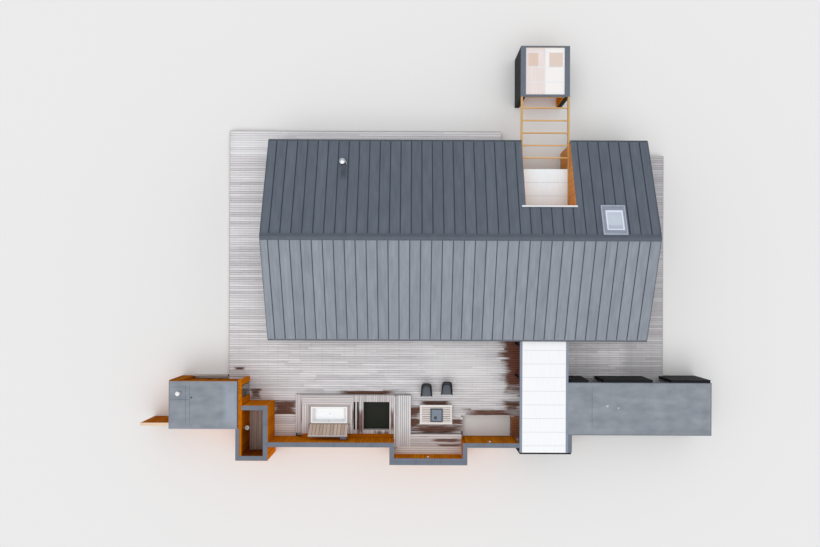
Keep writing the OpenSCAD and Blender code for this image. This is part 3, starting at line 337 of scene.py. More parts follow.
@dataclass(frozen=True)
class Timber(Finish):
    """Boards with a long grain, a tone of their own each, dark edges, screws and wet patches."""

    axis: Axis = Axis.X
    tone_span: float = 0.5
    wet: str = "#4e2a20"
    damp: str = "#826153"
    patches: tuple[Wet, ...] = ()
    boarded: bool = True
    rim: float = 0.5
    rim_tint: str = "#6b6462"
    screw_pitch: float = 0.0
    screw: str = "#3c3b3a"
    # Length and width in millimetres of the streaks, broad clouds, soaked fibres, drying ends and grain
    streak_mm: Pair = (900.0, 14.0)
    cloud_mm: Pair = (1500.0, 90.0)
    soaked_mm: Pair = (500.0, 9.0)
    drying_mm: Pair = (700.0, 28.0)
    raised_mm: Pair = (400.0, 7.0)

    def grain(self, tree: Tree, place: Socket, size_mm: Pair, detail: float) -> Socket:
        """Add a noise whose features lie along the boards.

        Args:
            tree: The material's nodes.
            place: Position socket in metres.
            size_mm: Length and width of the features.
            detail: Octaves of finer noise.

        Returns:
            The noise value.
        """
        sizes = [size_mm[1]] * 3
        sizes[self.axis.value] = size_mm[0]
        return self.noise(tree, place, (sizes[0], sizes[1], sizes[2]), detail)

    def tone(self, tree: Tree) -> Socket:
        """Return each board's own number, 0 to 1."""
        return add_node(tree, "Attribute", out="Fac", attribute_name="tone")

    def place(self, tree: Tree) -> Socket:
        """Shift the position from board to board, so that no grain runs on.

        Args:
            tree: The material's nodes.

        Returns:
            The position socket that the grain reads.
        """
        spot = super().place(tree)
        if not self.boarded:
            return spot
        jump = add_node(tree, "Math", {0: self.tone(tree), 1: 37.0}, operation="MULTIPLY")
        return add_node(tree, "VectorMath", {0: spot, 1: jump}, operation="ADD")

    def colour(self, tree: Tree, place: Socket) -> Socket:
        """Mix grain streaks, board tones, wet patches, board edges and screws.

        Args:
            tree: The material's nodes.
            place: Position socket of the grain.

        Returns:
            The colour over the boards.
        """
        streak = add_node(tree, "MapRange", {0: self.grain(tree, place, self.streak_mm, 4.0), 1: 0.35,
                                             2: 0.65})
        broad = add_node(tree, "MapRange", {0: self.grain(tree, place, self.cloud_mm, 2.0), 1: 0.3, 2: 0.7})
        tone = self.tone(tree) if self.boarded else broad
        both = add_node(tree, "Math", {0: streak, 1: broad}, operation="ADD")
        scaled = add_node(tree, "Math", {0: both, 1: 0.5 * (1 - self.tone_span)}, operation="MULTIPLY")
        factor = add_node(tree, "Math", {0: tone, 1: self.tone_span, 2: scaled}, operation="MULTIPLY_ADD")
        mixed = self.blend(tree, factor, self.base, self.second)
        if self.patches:
            fine = add_node(tree, "MapRange", {0: self.grain(tree, place, self.soaked_mm, 3.0), 1: 0.35,
                                               2: 0.65})
            soaked = self.blend(tree, fine, self.wet, self.damp)
            mixed = self.blend(tree, self.wetness(tree, place), mixed, soaked)
        if not self.boarded:
            return mixed
        rims = add_node(tree, "MapRange", {0: self.inset(tree), 1: 0.1, 2: 0.0, 4: self.rim})
        mixed = self.blend(tree, rims, mixed, self.rim_tint)
        return self.blend(tree, self.screws(tree), mixed, self.screw) if self.screw_pitch else mixed

    def inset(self, tree: Tree) -> Socket:
        """Return how far in from a board's edge a point lies, 0 at the edge and 0.5 in the middle."""
        across = add_node(tree, "Attribute", out="Fac", attribute_name="across")
        return add_node(tree, "Math", {0: across, 1: 0.5}, operation="PINGPONG")

    def screws(self, tree: Tree) -> Socket:
        """Draw the two screw heads of each board over every joist.

        Args:
            tree: The material's nodes.

        Returns:
            1 on a head and 0 elsewhere.
        """
        side = add_node(tree, "SeparateXYZ", {0: super().place(tree)}, self.axis.value)
        along_board = add_node(tree, "Math", {0: side, 1: self.screw_pitch / 2}, operation="PINGPONG")
        aside = add_node(tree, "Math", {0: self.inset(tree), 1: -0.2}, operation="ADD")
        pair = add_node(tree, "CombineXYZ", {0: along_board, 1: aside})
        scaled = add_node(tree, "VectorMath", {0: pair, 1: [250, 30, 0]}, operation="MULTIPLY")
        reach = add_node(tree, "VectorMath", {0: scaled}, 1, operation="LENGTH")
        return add_node(tree, "MapRange", {0: reach, 1: 1.0, 2: 0.8})

    def wetness(self, tree: Tree, place: Socket) -> Socket:
        """Soak the patches, where each board dries back in streaks to an end of its own.

        Args:
            tree: The material's nodes.
            place: Position socket of the grain.

        Returns:
            1 where the boards are wet and 0 where they are dry.
        """
        swing = add_node(tree, "Math", {0: self.grain(tree, place, self.drying_mm, 4.0), 1: 2.4, 2: -1.2},
                         operation="MULTIPLY_ADD")
        if self.boarded:
            own = add_node(tree, "Math", {0: self.tone(tree), 1: 1.0, 2: -0.5}, operation="MULTIPLY_ADD")
            swing = add_node(tree, "Math", {0: swing, 1: own}, operation="ADD")
        total: Socket | None = None
        for area, strength in self.patches:
            near = add_node(tree, "Math", {0: self.nearness(tree, area, 0.75), 1: strength},
                            operation="MULTIPLY")
            total = near if total is None else add_node(tree, "Math", {0: total, 1: near},
                                                        operation="MAXIMUM")
        both = add_node(tree, "Math", {0: swing, 1: 0.6, 2: total}, operation="MULTIPLY_ADD")
        soaked = add_node(tree, "MapRange", {0: both, 1: 0.4, 2: 0.95})
        gate = add_node(tree, "MapRange", {0: total, 1: 0.02, 2: 0.3})
        return add_node(tree, "Math", {0: soaked, 1: gate}, operation="MULTIPLY")

    def relief(self, tree: Tree, place: Socket) -> Socket:
        """Return the raised grain."""
        return self.grain(tree, place, self.raised_mm, 4.0)


@dataclass(frozen=True)
class Weathered(Timber):
    """Sawn softwood left to weather: silver grey with darker streaks, brown where rain stands."""

    slot: str = "weathered_boards"
    relief_mm: float = 0.6
    roughness: float = 0.8
    specular: float = 0.2


@dataclass(frozen=True)
class Cedar(Timber):
    """Oiled cedar boards: warm orange brown that differs from board to board, with almost no gloss."""

    slot: str = "cedar"
    relief_mm: float = 0.5
    roughness: float = 0.85
    specular: float = 0.02
    axis: Axis = Axis.Z
    rim: float = 0.45
    rim_tint: str = "#5a2e08"


@dataclass(frozen=True)
class Larch(Timber):
    """Planed larch: honey yellow faces that have gone orange where they were oiled."""

    slot: str = "larch"
    specular: float = 0.2
    rim: float = 0.1


@dataclass(frozen=True)
class Metal(Finish):
    """Sheet metal, coated or folded: faint clouds and a soft sheen."""

    slot: str = "grey_trim"
    grain_mm: Vec = even(500.0)
    relief_mm: float = 0.1
    metallic: float = 0.3


@dataclass(frozen=True)
class Painted(Finish):
    """Metal under a coat of paint: nearly even, with the gloss of the paint."""

    slot: str = "pale_trim"
    grain_mm: Vec = even(300.0)
    contrast: float = 0.6
    relief_mm: float = 0.1
    roughness: float = 0.4


@dataclass(frozen=True)
class SeamedZinc(Metal):
    """Zinc trays: a dark line at the foot of each seam, part dirt and part painted shade, and a slightly
    different tone in each tray.
    """

    slot: str = "seamed_metal"
    grain_mm: Vec = (240.0, 1600.0, 700.0)
    contrast: float = 0.8
    roughness: float = 0.6
    first: float = 0.4
    pitch: float = 0.53
    line: str = "#39414b"
    reach_mm: Pair = (12.0, 30.0)

    def colour(self, tree: Tree, place: Socket) -> Socket:
        """Draw the seam lines and the trays' tones on the clouded zinc.

        Args:
            tree: The material's nodes.
            place: Position socket in metres.

        Returns:
            The colour over the roof.
        """
        plain = super().colour(tree, place)
        x = add_node(tree, "SeparateXYZ", {0: place})
        run = add_node(tree, "Math", {0: x, 1: VERGE_X - self.first}, operation="ADD")
        tray = add_node(tree, "Math", {0: run, 1: self.pitch}, operation="DIVIDE")
        number = add_node(tree, "Math", {0: tray}, operation="FLOOR")
        luck = add_node(tree, "TexWhiteNoise", {"W": number}, noise_dimensions="1D")
        shade = add_node(tree, "Math", {0: luck, 1: 0.14}, operation="MULTIPLY")
        toned = self.blend(tree, shade, plain, self.line)
        off = add_node(tree, "Math", {0: run, 1: self.pitch / 2}, operation="PINGPONG")
        near, far = (r / 1000 for r in self.reach_mm)
        edge = add_node(tree, "MapRange", {0: off, 1: near, 2: far, 3: 1.0, 4: 0.0})
        return self.blend(tree, edge, toned, self.line)


# Finishes of the house. Wet marks are low and high corners in X and Y, in metres, with a strength
DECK_WET: tuple[Wet, ...] = (
    ((2.35, -8.9, 4.75, -3.9), 1.6), ((2.1, -8.5, 3.9, -4.0), 0.75), ((2.4, -9.35, 3.9, -8.3), 0.95),
    ((2.8, -10.9, 3.95, -9.1), 1.7), ((0.1, -9.42, 3.8, -8.85), 0.98), ((-2.05, -8.8, -0.05, -8.5), 1.6),
    ((-2.9, -10.7, -1.6, -8.3), 1.0), ((-3.2, -10.8, 1.3, -9.62), 1.3), ((-0.3, -9.95, 0.6, -9.2), 0.9),
    ((-6.7, -8.48, -2.8, -7.9), 1.7), ((-11.2, -8.6, -10.35, -7.75), 1.0), ((-10.1, -9.5, -8.3, -8.45), 1.2),
    ((-12.1, -6.95, -11.2, -6.68), 1.3),
)
PLATFORM_WET: tuple[Wet, ...] = (
    ((-5.3, -10.6, -4.85, -8.7), 1.2), ((-5.6, -10.3, -5.36, -8.4), 0.95), ((-3.52, -10.6, -3.2, -8.5), 1.3),
    ((-4.6, -10.5, -3.2, -10.02), 0.9),
)
BENCH_WET: tuple[Wet, ...] = (
    ((-1.4, -10.75, 0.5, -10.42), 1.2), ((-1.1, -11.05, 0.5, -10.75), 1.15),
    ((-2.3, -10.5, -0.9, -10.3), 0.7),
)
# Deck marks: duller grey towards the east and reddish wet by the canopy. The two near-white marks, north and
# south of the house, are painted light that lifts the shade there
DECK_DULLING_AND_PAINTED_LIGHT = (
    Mark((8.9, -8.2, 13.0, 6.5), "#8f8d90", 0.42, 0.25), Mark((6.0, -7.8, 8.0, -4.2), "#8f8d90", 0.18, 0.6),
    Mark((-12.6, 4.6, 3.0, 6.6), "#fafafd", 0.4, 0.1), Mark((2.7, -8.2, 4.6, -4.0), "#803a1a", 0.35, 0.4),
    Mark((2.9, -10.7, 4.0, -9.2), "#b06c3c", 0.55, 0.3), Mark((-2.3, -7.7, 2.4, -5.2), "#ffffff", 0.35, 0.5),
)
# A dark line where the step meets the platform: painted shade of the riser, with wet boards in its south part
STEP_LINE = (Mark((-8.27, -9.8, -8.2, -8.45), "#33211d", 0.85, 0.35),)

DECK_TIMBER = Weathered("weathered_deck_timber", "#fefdfe", "#c0bcbf", patches=DECK_WET, marks=DECK_DULLING_AND_PAINTED_LIGHT,
                        rim=0.42, screw_pitch=0.6)
COURT_TIMBER = Weathered("weathered_court_timber", "#cdb8ac", "#a08b80", specular=0.5, axis=Axis.Y,
                         screw_pitch=0.6)
PLATFORM_TIMBER_X = Weathered("platform_timber_east_west", "#f0ebec", "#b6afae", patches=PLATFORM_WET,
                              wet="#5a3c38", damp="#9a7c75")
PLATFORM_TIMBER_Y = Weathered("platform_timber_north_south", "#f0ebec", "#b3acab", axis=Axis.Y,
                              patches=PLATFORM_WET, wet="#5a3c38", damp="#9a7c75", marks=STEP_LINE)
SURROUND_X = Weathered("tub_surround_east_west", "#c4b9b4", "#9f928c", relief_mm=0.5)
SURROUND_Y = Weathered("tub_surround_north_south", "#ccc2bd", "#a79a94", relief_mm=0.5, axis=Axis.Y)
BENCH_TIMBER_X = Weathered("bench_timber_east_west", "#f0ebea", "#bdb5b3", patches=BENCH_WET,
                           wet="#5a3c38", damp="#8f716a")
BENCH_TIMBER_Y = Weathered("bench_timber_north_south", "#fefeff", "#cdcacb", axis=Axis.Y, rim=0.7)
BACK_TIMBER = Weathered("bench_back_timber", "#fdefe8", "#e8d6ce", relief_mm=0.4, roughness=0.7)
COVER_TIMBER = Weathered("tub_cover_timber", "#f0dccb", "#c0a694", relief_mm=0.5, roughness=0.7,
                         axis=Axis.Y, rim_tint="#7d6658")
TABLE_TIMBER = Weathered("fire_table_timber", "#f6f2ef", "#dfd6d0", relief_mm=0.5, roughness=0.7)
STEP_TIMBER = Weathered("plain_floor_timber", "#d5cfca", "#b0a8a2", relief_mm=0.5, specular=0.5,
                        boarded=False)
JOIST_TIMBER = Weathered("sawn_joist_timber", "#7d7166", "#5a5048", "deck_joists", roughness=0.85,
                         specular=0.5, boarded=False)
CEDAR = Cedar("oiled_cedar_boards", "#f8980c", "#c66808")
CEDAR_PLAIN = Cedar("oiled_cedar_backing", "#d0760a", "#9c5207", relief_mm=0.3, boarded=False)
# Lighter cedar in the open notch
CEDAR_LIGHT = Cedar("pale_cedar_boards", "#f4b26e", "#da8f4c", roughness=0.75, specular=0.06, rim=0.4,
                    rim_tint="#6a3810")
# Painted shade: a darker copy of the cedar for boards that stand in shade, inside the court, in the recess,
# on the bath house's north faces and fascia, and on the fence
CEDAR_SHADE = Cedar("cedar_boards_painted_shade", "#c4700c", "#8c4b07", rim_tint="#46240c")
# Level cedar boards are painted darker than the upright ones, so that their lit tops read like the shaded
# faces: painted shade
CEDAR_LEVEL = Cedar("level_cedar_boards", "#c8740e", "#a05a0a", axis=Axis.X, rim=0.3)
CREAM_CAP = Cedar("bare_cap_timber", "#f5e2cd", "#e2c3a2", relief_mm=0.3, roughness=0.6, specular=0.2,
                  axis=Axis.X, rim=0.1, rim_tint="#6b6462")
# Black stained boards: near black with a dull grain
BLACK_BOARDS = Timber("black_stained_boards", "#28292c", "#161719", "black_timber", relief_mm=0.5,
                      roughness=0.7, axis=Axis.Z, tone_span=0.6, specular=0.15, rim_tint="#08080a")
BLACK_PLAIN = Timber("black_stained_backing", "#151617", "#0d0e0f", "black_timber", roughness=0.7,
                     axis=Axis.Z, boarded=False, specular=0.15)
LARCH_X = Larch("planed_larch_rafters", "#f2d08c", "#d29038")
LARCH_Y = Larch("planed_larch_beams", "#e2bd76", "#be8436", axis=Axis.Y)
# Folded zinc: blue grey with a soft sheen, a dark line at the seams that is part dirt and part painted shade,
# sooted beside the flue
# The north slope's copy is painted darker and the south slope's lighter: painted shade and painted light of
# the two slopes
ZINC_NORTH = SeamedZinc("folded_zinc_shaded", "#58626e", "#67707d", first=0.44, line="#313842",
                        marks=(Mark((-6.05, 2.9, -5.55, 3.75), "#2b2e33", 0.55, 0.9),))
ZINC_SOUTH = SeamedZinc("folded_zinc_lit", "#858c96", "#989ea8", first=0.375, line="#414852")
# The mark lightens the south gutter: painted light on the lit south side
ZINC_TRIM = Metal("folded_zinc_trim", "#4b535e", "#58606b", "seamed_metal",
                  marks=(Mark((-10.0, -5.4, 10.0, -5.0), "#80858d", 0.6, 0.01),))
COPING_METAL = Metal("coated_steel_coping", "#565f6b", "#656d79")
CANOPY_TRIM = Metal("coated_canopy_trim", "#737c8c", "#828b9a")
FIRE_STEEL = Metal("blued_fire_box_steel", "#66717f", "#76818f", "weathered_boards", even(90), 0.8)
FIRE_RIM = Metal("dark_fire_box_rim", "#3a4048", "#474d55", "weathered_boards", even(90), 0.8)
STEEL = Metal("brushed_stainless_steel", "#c3c7ca", "#a9aeb2", "stainless", (8, 8, 200), 0.6, 0.05, 0.28,
              1.0)
SHOWER_STEEL = Metal("dulled_shower_steel", "#8f8a85", "#787370", "stainless", (8, 8, 200), 0.6, 0.05,
                     metallic=0.6)
PALE_TRIM = Painted("white_coated_metal", "#dfe3e8", "#eceff2", contrast=0.5)
FRAME_METAL = Painted("anthracite_window_metal", "#2b2e32", "#363a3e", "dark_frames", contrast=0.5,
                      metallic=0.2)
SKY_KERB = Painted("blue_grey_coated_metal", "#a5adbd", "#b6bfce")
SKY_SASH = Painted("shaded_sash_metal", "#858e9f", "#949dad")
SKY_BEAD = Painted("bright_sash_bead", "#dfe6f4", "#e9eefa", roughness=0.3)
# Opal twin-wall sheet: milky white with a soft gloss
OPAL = Finish("opal_twin_wall_sheet", "#f7f8f9", "#eef0f2", "opal_sheet", (60, 700, 400), 0.6, 0.1, 0.3)
GREEN_OPAL = Finish("clear_twin_wall_sheet", "#f1fbff", "#e4eff6", "opal_sheet", (60, 500, 400), 0.6, 0.1,
                    0.3)
# Aged clear sheet: milky with a pink cast, whiter to the east and tan in two places
SHELTER_SHEET = Finish("aged_clear_sheet", "#eee3e0", "#e3d6d1", "opal_sheet", (40, 900, 500), 0.9, 0.1, 0.3,
                       marks=(Mark((4.5, 7.4, 5.6, 10.1), "#f6f5f3", 0.8, 0.06),
                              Mark((3.62, 9.02, 4.15, 9.76), "#d9bca6", 0.7, 0.08),
                              Mark((4.69, 8.97, 5.42, 9.75), "#d8bfae", 0.75, 0.08)))
# Clear insulating glass: a faint green tint and mirror gloss. The skylight has a pale blind behind it
GLASS = Finish("clear_insulating_glass", "#dbe6e4", "#e2ecea", "glazing", even(500), 0.3, 0.0, 0.02,
               transmission=0.92)
SKY_GLASS = Finish("skylight_glass", "#d0dbe7", "#cad2e4", "glazing", (900, 500, 500), 0.9, 0.0, 0.08,
                   coat=0.3, transmission=0.1)
# Mineral felt: slate grit, bleached in places, with a lighter strip along the bath house's east edge
FELT = Finish("mineral_felt", "#828991", "#989da5", "roofing_felt", (900, 500, 500), 0.9, 0.8, 0.9,
              specular=0.2, marks=(
                  Mark((7.7, -8.55, 7.84, -8.43), "#c9ccd0", 0.9),
                  Mark((8.28, -8.64, 8.4, -8.54), "#c9ccd0", 0.8),
                  Mark((-12.1, -9.8, -11.2, -7.2), "#9fb3c6", 0.55, 0.6),
                  Mark((-11.83, -9.7, -11.77, -7.3), "#c39a80", 0.5),
                  Mark((-11.59, -9.7, -11.53, -7.3), "#c39a80", 0.5),
                  *(Mark(area, "#5d646c", 0.6) for area in (
                      (-14.0, -9.72, -13.96, -7.27), (-13.79, -9.72, -13.75, -7.27),
                      (-14.8, -8.26, -13.7, -8.22), (-14.72, -7.61, -13.75, -7.57),
                      (6.96, -9.96, 7.0, -7.3)))))
CONCRETE = Finish("cast_concrete", "#9a9892", "#86847e", "concrete", even(120), 0.6, 0.5, 0.85)
# Ceiling boards: painted indoors, black stained under the eaves and verges, cedar brown at the notch
LINING = Finish("painted_lining_boards", "#1b1c1e", "#141517", "roof_core", (80, 900, 80), 0.5, 0.3, 0.7,
                marks=(Mark((-9.55, -4.9, 9.55, 4.9), "#d6d2c9", 1.0, 0.001),
                       Mark((3.2, 1.6, 5.8, 5.2), "#a85c14", 1.0, 0.002)))
PLASTIC = Finish("moulded_white_plastic", "#f6f7f7", "#ececec", "white_plastic", even(50), 0.4, 0.05, 0.35)
ACRYLIC = Finish("cast_white_acrylic", "#fafbfc", "#f3f6f8", "tub_shell", even(300), 0.4, 0.0, 0.12,
                 coat=0.4)
# Near-black sheet: the dark of the planter's bed, and painted shade in the trough's slots and under the
# table's slats
DARK_BED_AND_SHADE = Finish("dark_bed_mat_and_painted_shade", "#1c1f1a", "#272b22", "weathered_boards", even(40), 0.7, 0.5, 0.95)
# Lounge chairs: black moulded shell with a woven grey seat pad
CHAIR_SHELL = Finish("black_moulded_shell", "#141518", "#1d1f23", "chair_shell", relief_mm=0.1,
                     roughness=0.45)
CHAIR_PAD = Finish("woven_grey_pad", "#686e76", "#575c64", "chair_shell", even(12), 0.8, 0.6, 0.9)


# Modelling with Blender's own tools


def pick(obj: Object) -> None:
    """Deselect everything, then select one object and make it active.

    Args:
        obj: The object.
    """
    bpy.ops.object.select_all(action="DESELECT")
    obj.select_set(True)
    bpy.context.view_layer.objects.active = obj


@contextmanager
def editing(obj: Object) -> Iterator[None]:
    """Hold one object in edit mode, with everything in it selected at first.

    Args:
        obj: The object.

    Yields:
        Nothing, for as long as it is edited.
    """
    pick(obj)
    bpy.ops.object.mode_set(mode="EDIT")
    bpy.ops.mesh.select_all(action="SELECT")
    yield
    bpy.ops.object.mode_set(mode="OBJECT")


def choose(obj: Object, wanted: Callable[[Vector, Vector], bool], edges: bool = False) -> None:
    """Select in edit mode the faces or edges that a test accepts.

    Args:
        obj: The object in edit mode.
        wanted: Test of a face by its middle and normal, or of an edge by its middle and direction.
        edges: Whether edges are tested instead of faces.
    """
    bpy.context.tool_settings.mesh_select_mode = (False, edges, not edges)
    shape = bmesh.from_edit_mesh(obj.data)
    if edges:
        for edge in shape.edges:
            a, b = (v.co for v in edge.verts)
            edge.select_set(wanted((a + b) / 2, (b - a).normalized()))
    else:
        for face in shape.faces:
            face.select_set(wanted(face.calc_center_median(), face.normal))
    shape.select_flush_mode()
    bmesh.update_edit_mesh(obj.data)


def outward(obj: Object) -> Object:
    """Turn all faces of a closed piece outwards.

    Args:
        obj: The piece.

    Returns:
        The same piece.
    """
    with editing(obj):
        bpy.ops.mesh.normals_make_consistent(inside=False)
    return obj


def smoothed(obj: Object, degrees: float) -> Object:
    """Shade a piece smooth where its faces meet below an angle.

    Args:
        obj: The piece.
        degrees: The angle.

    Returns:
        The same piece.
    """
    pick(obj)
    bpy.ops.object.shade_smooth_by_angle(angle=math.radians(degrees))
    return obj


def block(name: str, low: Vec, high: Vec, bevel: float = 0.004, segments: int = 1) -> Object:
    """Add a box between two corners and break its edges.

    Args:
        name: Name of the piece.
        low: Lowest corner.
        high: Highest corner.
        bevel: Width of the broken edges.
        segments: Faces across each edge.

    Returns:
        The new object, with its place in its mesh.
    """
    bpy.ops.object.select_all(action="DESELECT")
    middle = [(a + b) / 2 for a, b in zip(low, high)]
    bpy.ops.mesh.primitive_cube_add(size=1, location=middle, scale=[b - a for a, b in zip(low, high)])
    obj = bpy.context.active_object
    obj.name = obj.data.name = name
    bpy.ops.object.transform_apply(location=True, rotation=True, scale=True)
    if bevel:
        with editing(obj):
            bpy.ops.mesh.bevel(offset=bevel, segments=segments, affect="EDGES")
    return obj


def turned(name: str, middle: Vec, profile: Sequence[Pair], sides: int = 40) -> Object:
    """Draw a round piece up from its foot, ring by ring.

    Args:
        name: Name of the piece.
        middle: Place of the foot's centre.
        profile: Radius and height of each ring above the foot.
        sides: Corners of a ring.

    Returns:
        The new closed object.
    """
    bpy.ops.object.select_all(action="DESELECT")
    x, y, z = middle
    radius, height = profile[0]
    bpy.ops.mesh.primitive_circle_add(vertices=sides, radius=radius, fill_type="NGON",
                                      location=(x, y, z + height))
    obj = bpy.context.active_object
    obj.name = obj.data.name = name
    bpy.ops.object.transform_apply(location=True, rotation=True, scale=True)
    with editing(obj):
        for next_radius, next_height in profile[1:]:
            bpy.ops.mesh.extrude_region_move(
                TRANSFORM_OT_translate={"value": (0, 0, next_height - height)})
            factor = next_radius / radius
            bpy.ops.transform.resize(value=(factor, factor, 1), center_override=(x, y, z + next_height))
            radius, height = next_radius, next_height
    return smoothed(outward(obj), 35)


def joined(name: str, parts: Sequence[Object]) -> Object:
    """Join several objects into one piece.

    Args:
        name: Name of the piece.
        parts: The objects, of which the first one stays.

    Returns:
        The piece.
    """
    pick(parts[0])
    for part in parts:
        part.select_set(True)
    if len(parts) > 1:
        bpy.ops.object.join()
    parts[0].name = parts[0].data.name = name
    return parts[0]


def turn(obj: Object, angle: float, axis: str, centre: Vec) -> Object:
    """Turn a piece about a point and leave the turn in its mesh.

    Args:
        obj: The piece.
        angle: The angle in radians.
        axis: Letter of the axis.
        centre: The point.

    Returns:
        The same piece.
    """
    spin = Matrix.Translation(centre) @ Matrix.Rotation(angle, 4, axis) @ Matrix.Translation(-Vector(centre))
    obj.data.transform(spin)
    return obj


@dataclass(frozen=True)
class Plank:
    """One board by its corners. A raked board is cut under the slope."""

    low: Vec
    high: Vec
    raked: bool = False


def level(z0: float, z1: float, *plans: Rect) -> list[Plank]:
    """Return boards between two heights, each by its low and high corner in plan."""
    return [Plank((x0, y0, z0), (x1, y1, z1)) for x0, y0, x1, y1 in plans]


def along(axis: Axis, run: Pair, side: Pair, rise: Pair, raked: bool = False) -> Plank:
    """Return a board by its reach along an axis, to the side of it and up."""
    low, high = zip(run, side, rise) if axis is Axis.X else zip(side, run, rise)
    return Plank(low, high, raked)


def between(a: float, b: float) -> Pair:
    """Return two places in rising order."""
    return min(a, b), max(a, b)


def stacked(z0: float, z1: float, count: int, *plans: Rect) -> list[Plank]:
    """Stand boards on edge in level courses, with a small gap over each.

    Args:
        z0: Foot of the lowest course.
        z1: Top of the highest course with its gap.
        count: Number of courses.
        plans: Low and high corner of each board in a course.

    Returns:
        The boards, course by course.
    """
    gap, step = 0.005, (z1 - z0) / count
    return [board for i in range(count)
            for board in level(z0 + i * step, z0 + (i + 1) * step - gap, *plans)]


@dataclass
class Joiner:
    """Cuts every board from one modelled board and fixes a set of them as one piece."""

    edge: float = 0.004
    seed: int = 11
    _board: Object | None = field(default=None, repr=False)

    def board(self) -> Object:
        """Model the board that all others are copies of, once.

        Returns:
            The board.
        """
        if self._board is None:
            self._board = block("pattern_board", (-0.5, -0.5, -0.5), (0.5, 0.5, 0.5), self.edge)
        return self._board

    def cut(self, plank: Plank, tone: float, rake: Rake | None) -> Object:
        """Copy the board, move its ends to a plank's corners and note its tone and width.

        Args:
            plank: The corners.
            tone: The board's own number for its colour.
            rake: Height of a raked board's top over Y.

        Returns:
            The fitted copy with its own mesh.
        """
        mesh = self.board().data.copy()
        place = np.empty(len(mesh.vertices) * 3, dtype=np.float32)
        mesh.vertices.foreach_get("co", place)
        place = place.reshape(-1, 3)
        low, high = np.array(plank.low), np.array(plank.high)
        fitted = np.where(place < 0, low + (place + 0.5), high - (0.5 - place))
        if plank.raked and rake:
            for i in np.flatnonzero(place[:, 2] > 0):
                fitted[i, 2] += rake(float(fitted[i, 1])) - plank.high[2]
        mesh.vertices.foreach_set("co", fitted.astype(np.float32).ravel())
        across = place[:, int(np.argsort(high - low)[1])] + 0.5
        for title, values in (("tone", np.full(len(place), tone)), ("across", across)):
            mesh.attributes.new(title, "FLOAT", "POINT").data.foreach_set("value", values.astype(np.float32))
        copy = bpy.data.objects.new("board", mesh)
        bpy.context.scene.collection.objects.link(copy)
        return copy

    def fix(self, name: str, planks: Sequence[Plank], finish: Finish, rake: Rake | None = None,
            body: Body = Body.HOUSE, placed: Matrix | None = None) -> Object:
        """Cut a set of boards, join them and dress the piece.

        Args:
            name: Name of the piece.
            planks: Its boards.
            finish: Its finish.
            rake: Height of raked tops over Y.
            body: Body that carries it.
            placed: Where the set goes if it was drawn lying at the origin.

        Returns:
            The dressed piece.
        """
        luck = random.Random(f"{self.seed}{name}")
        piece = joined(name, [self.cut(p, luck.random(), rake) for p in planks])
        if placed is not None:
            piece.data.transform(placed)
        piece.data.update()
        return finish.dress(piece, body)


@dataclass(frozen=True)
class Boarding:
    """Rows of boards that lie side by side over one or more rectangles."""

    areas: tuple[Rect, ...]
    axis: Axis
    z0: float
    z1: float
    pitch: float = 0.1256
    gap: float = 0.007
    start: float = DECK_Y1
    longest: float = 4.6
    shortest: float = 0.7
    butt: float = 0.0015
    seed: int = 3

    def rows(self) -> dict[tuple[int, float, float], list[list[float]]]:
        """Lay out the rows and clip them to the rectangles.

        Returns:
            For each row and its clipped sides, the lengths it runs over.
        """
        found: dict[tuple[int, float, float], list[list[float]]] = {}
        for x0, y0, x1, y1 in self.areas:
            a0, a1, s0, s1 = (x0, x1, y0, y1) if self.axis is Axis.X else (y0, y1, x0, x1)
            first = math.floor((s0 - self.start) / self.pitch)
            last = math.ceil((s1 - self.start) / self.pitch)
            for row in range(first, last):
                low = self.start + row * self.pitch + self.gap / 2
                high = low + self.pitch - self.gap
                low, high = max(low, s0 + 0.001), min(high, s1 - 0.001)
                if high - low > 0.012:
                    found.setdefault((row, round(low, 4), round(high, 4)), []).append([a0, a1])
        return found

    def planks(self) -> list[Plank]:
        """Cut the rows into boards, with staggered butt joints in long rows.

        Returns:
            The boards, row by row.
        """
        luck = random.Random(self.seed)
        out: list[Plank] = []
        for (_, low, high), runs in sorted(self.rows().items()):
            merged: list[list[float]] = []
            for run in sorted(runs):
                if merged and run[0] - merged[-1][1] < 0.01:
                    merged[-1][1] = run[1]
                else:
                    merged.append(list(run))
            for spot, end in merged:
                while spot < end - 0.02:
                    reach = spot + self.longest * luck.uniform(0.55, 1.0)
                    if end - reach < self.shortest:
                        reach = end
                    ends = (spot + self.butt, reach - self.butt)
                    out.append(along(self.axis, ends, (low, high), (self.z0, self.z1)))
                    spot = reach
        return out


@dataclass(frozen=True)
class WallFace:
    """Upright boards on one wall face, notched round openings given by two corners, along it and up."""

    axis: Axis
    at: float
    out: float
    u0: float
    u1: float
    z0: float
    z1: float
    openings: tuple[Rect, ...] = ()
    thick: float = BOARD_T
    raked: bool = False
    pitch: float = 0.135
    gap: float = 0.007

    def planks(self) -> list[Plank]:
        """Cut the boards of the face round its openings.

        Returns:
            The boards, from the start of the face to its end.
        """
        count = max(1, round((self.u1 - self.u0) / self.pitch))
        step = (self.u1 - self.u0) / count
        deep = between(self.at, self.at + self.out * self.thick)
        shortest, clear = 0.03, 0.003
        out: list[Plank] = []
        for i in range(count):
            a = self.u0 + i * step + self.gap / 2
            b = a + step - self.gap
            cuts = {a, b, *(e for o in self.openings for e in (o[0], o[2]) if a < e < b)}
            for run in pairwise(sorted(cuts)):
                if run[1] - run[0] < 0.014:
                    continue
                z, middle = self.z0, sum(run) / 2
                for hole in sorted((o for o in self.openings if o[0] < middle < o[2]), key=lambda o: o[1]):
                    if hole[1] - z > shortest:
                        out.append(along(self.axis, run, deep, (z, hole[1] - clear)))
                    z = hole[3] + clear
                if self.z1 - z > shortest:
                    out.append(along(self.axis, run, deep, (z, self.z1), self.raked))
        return out


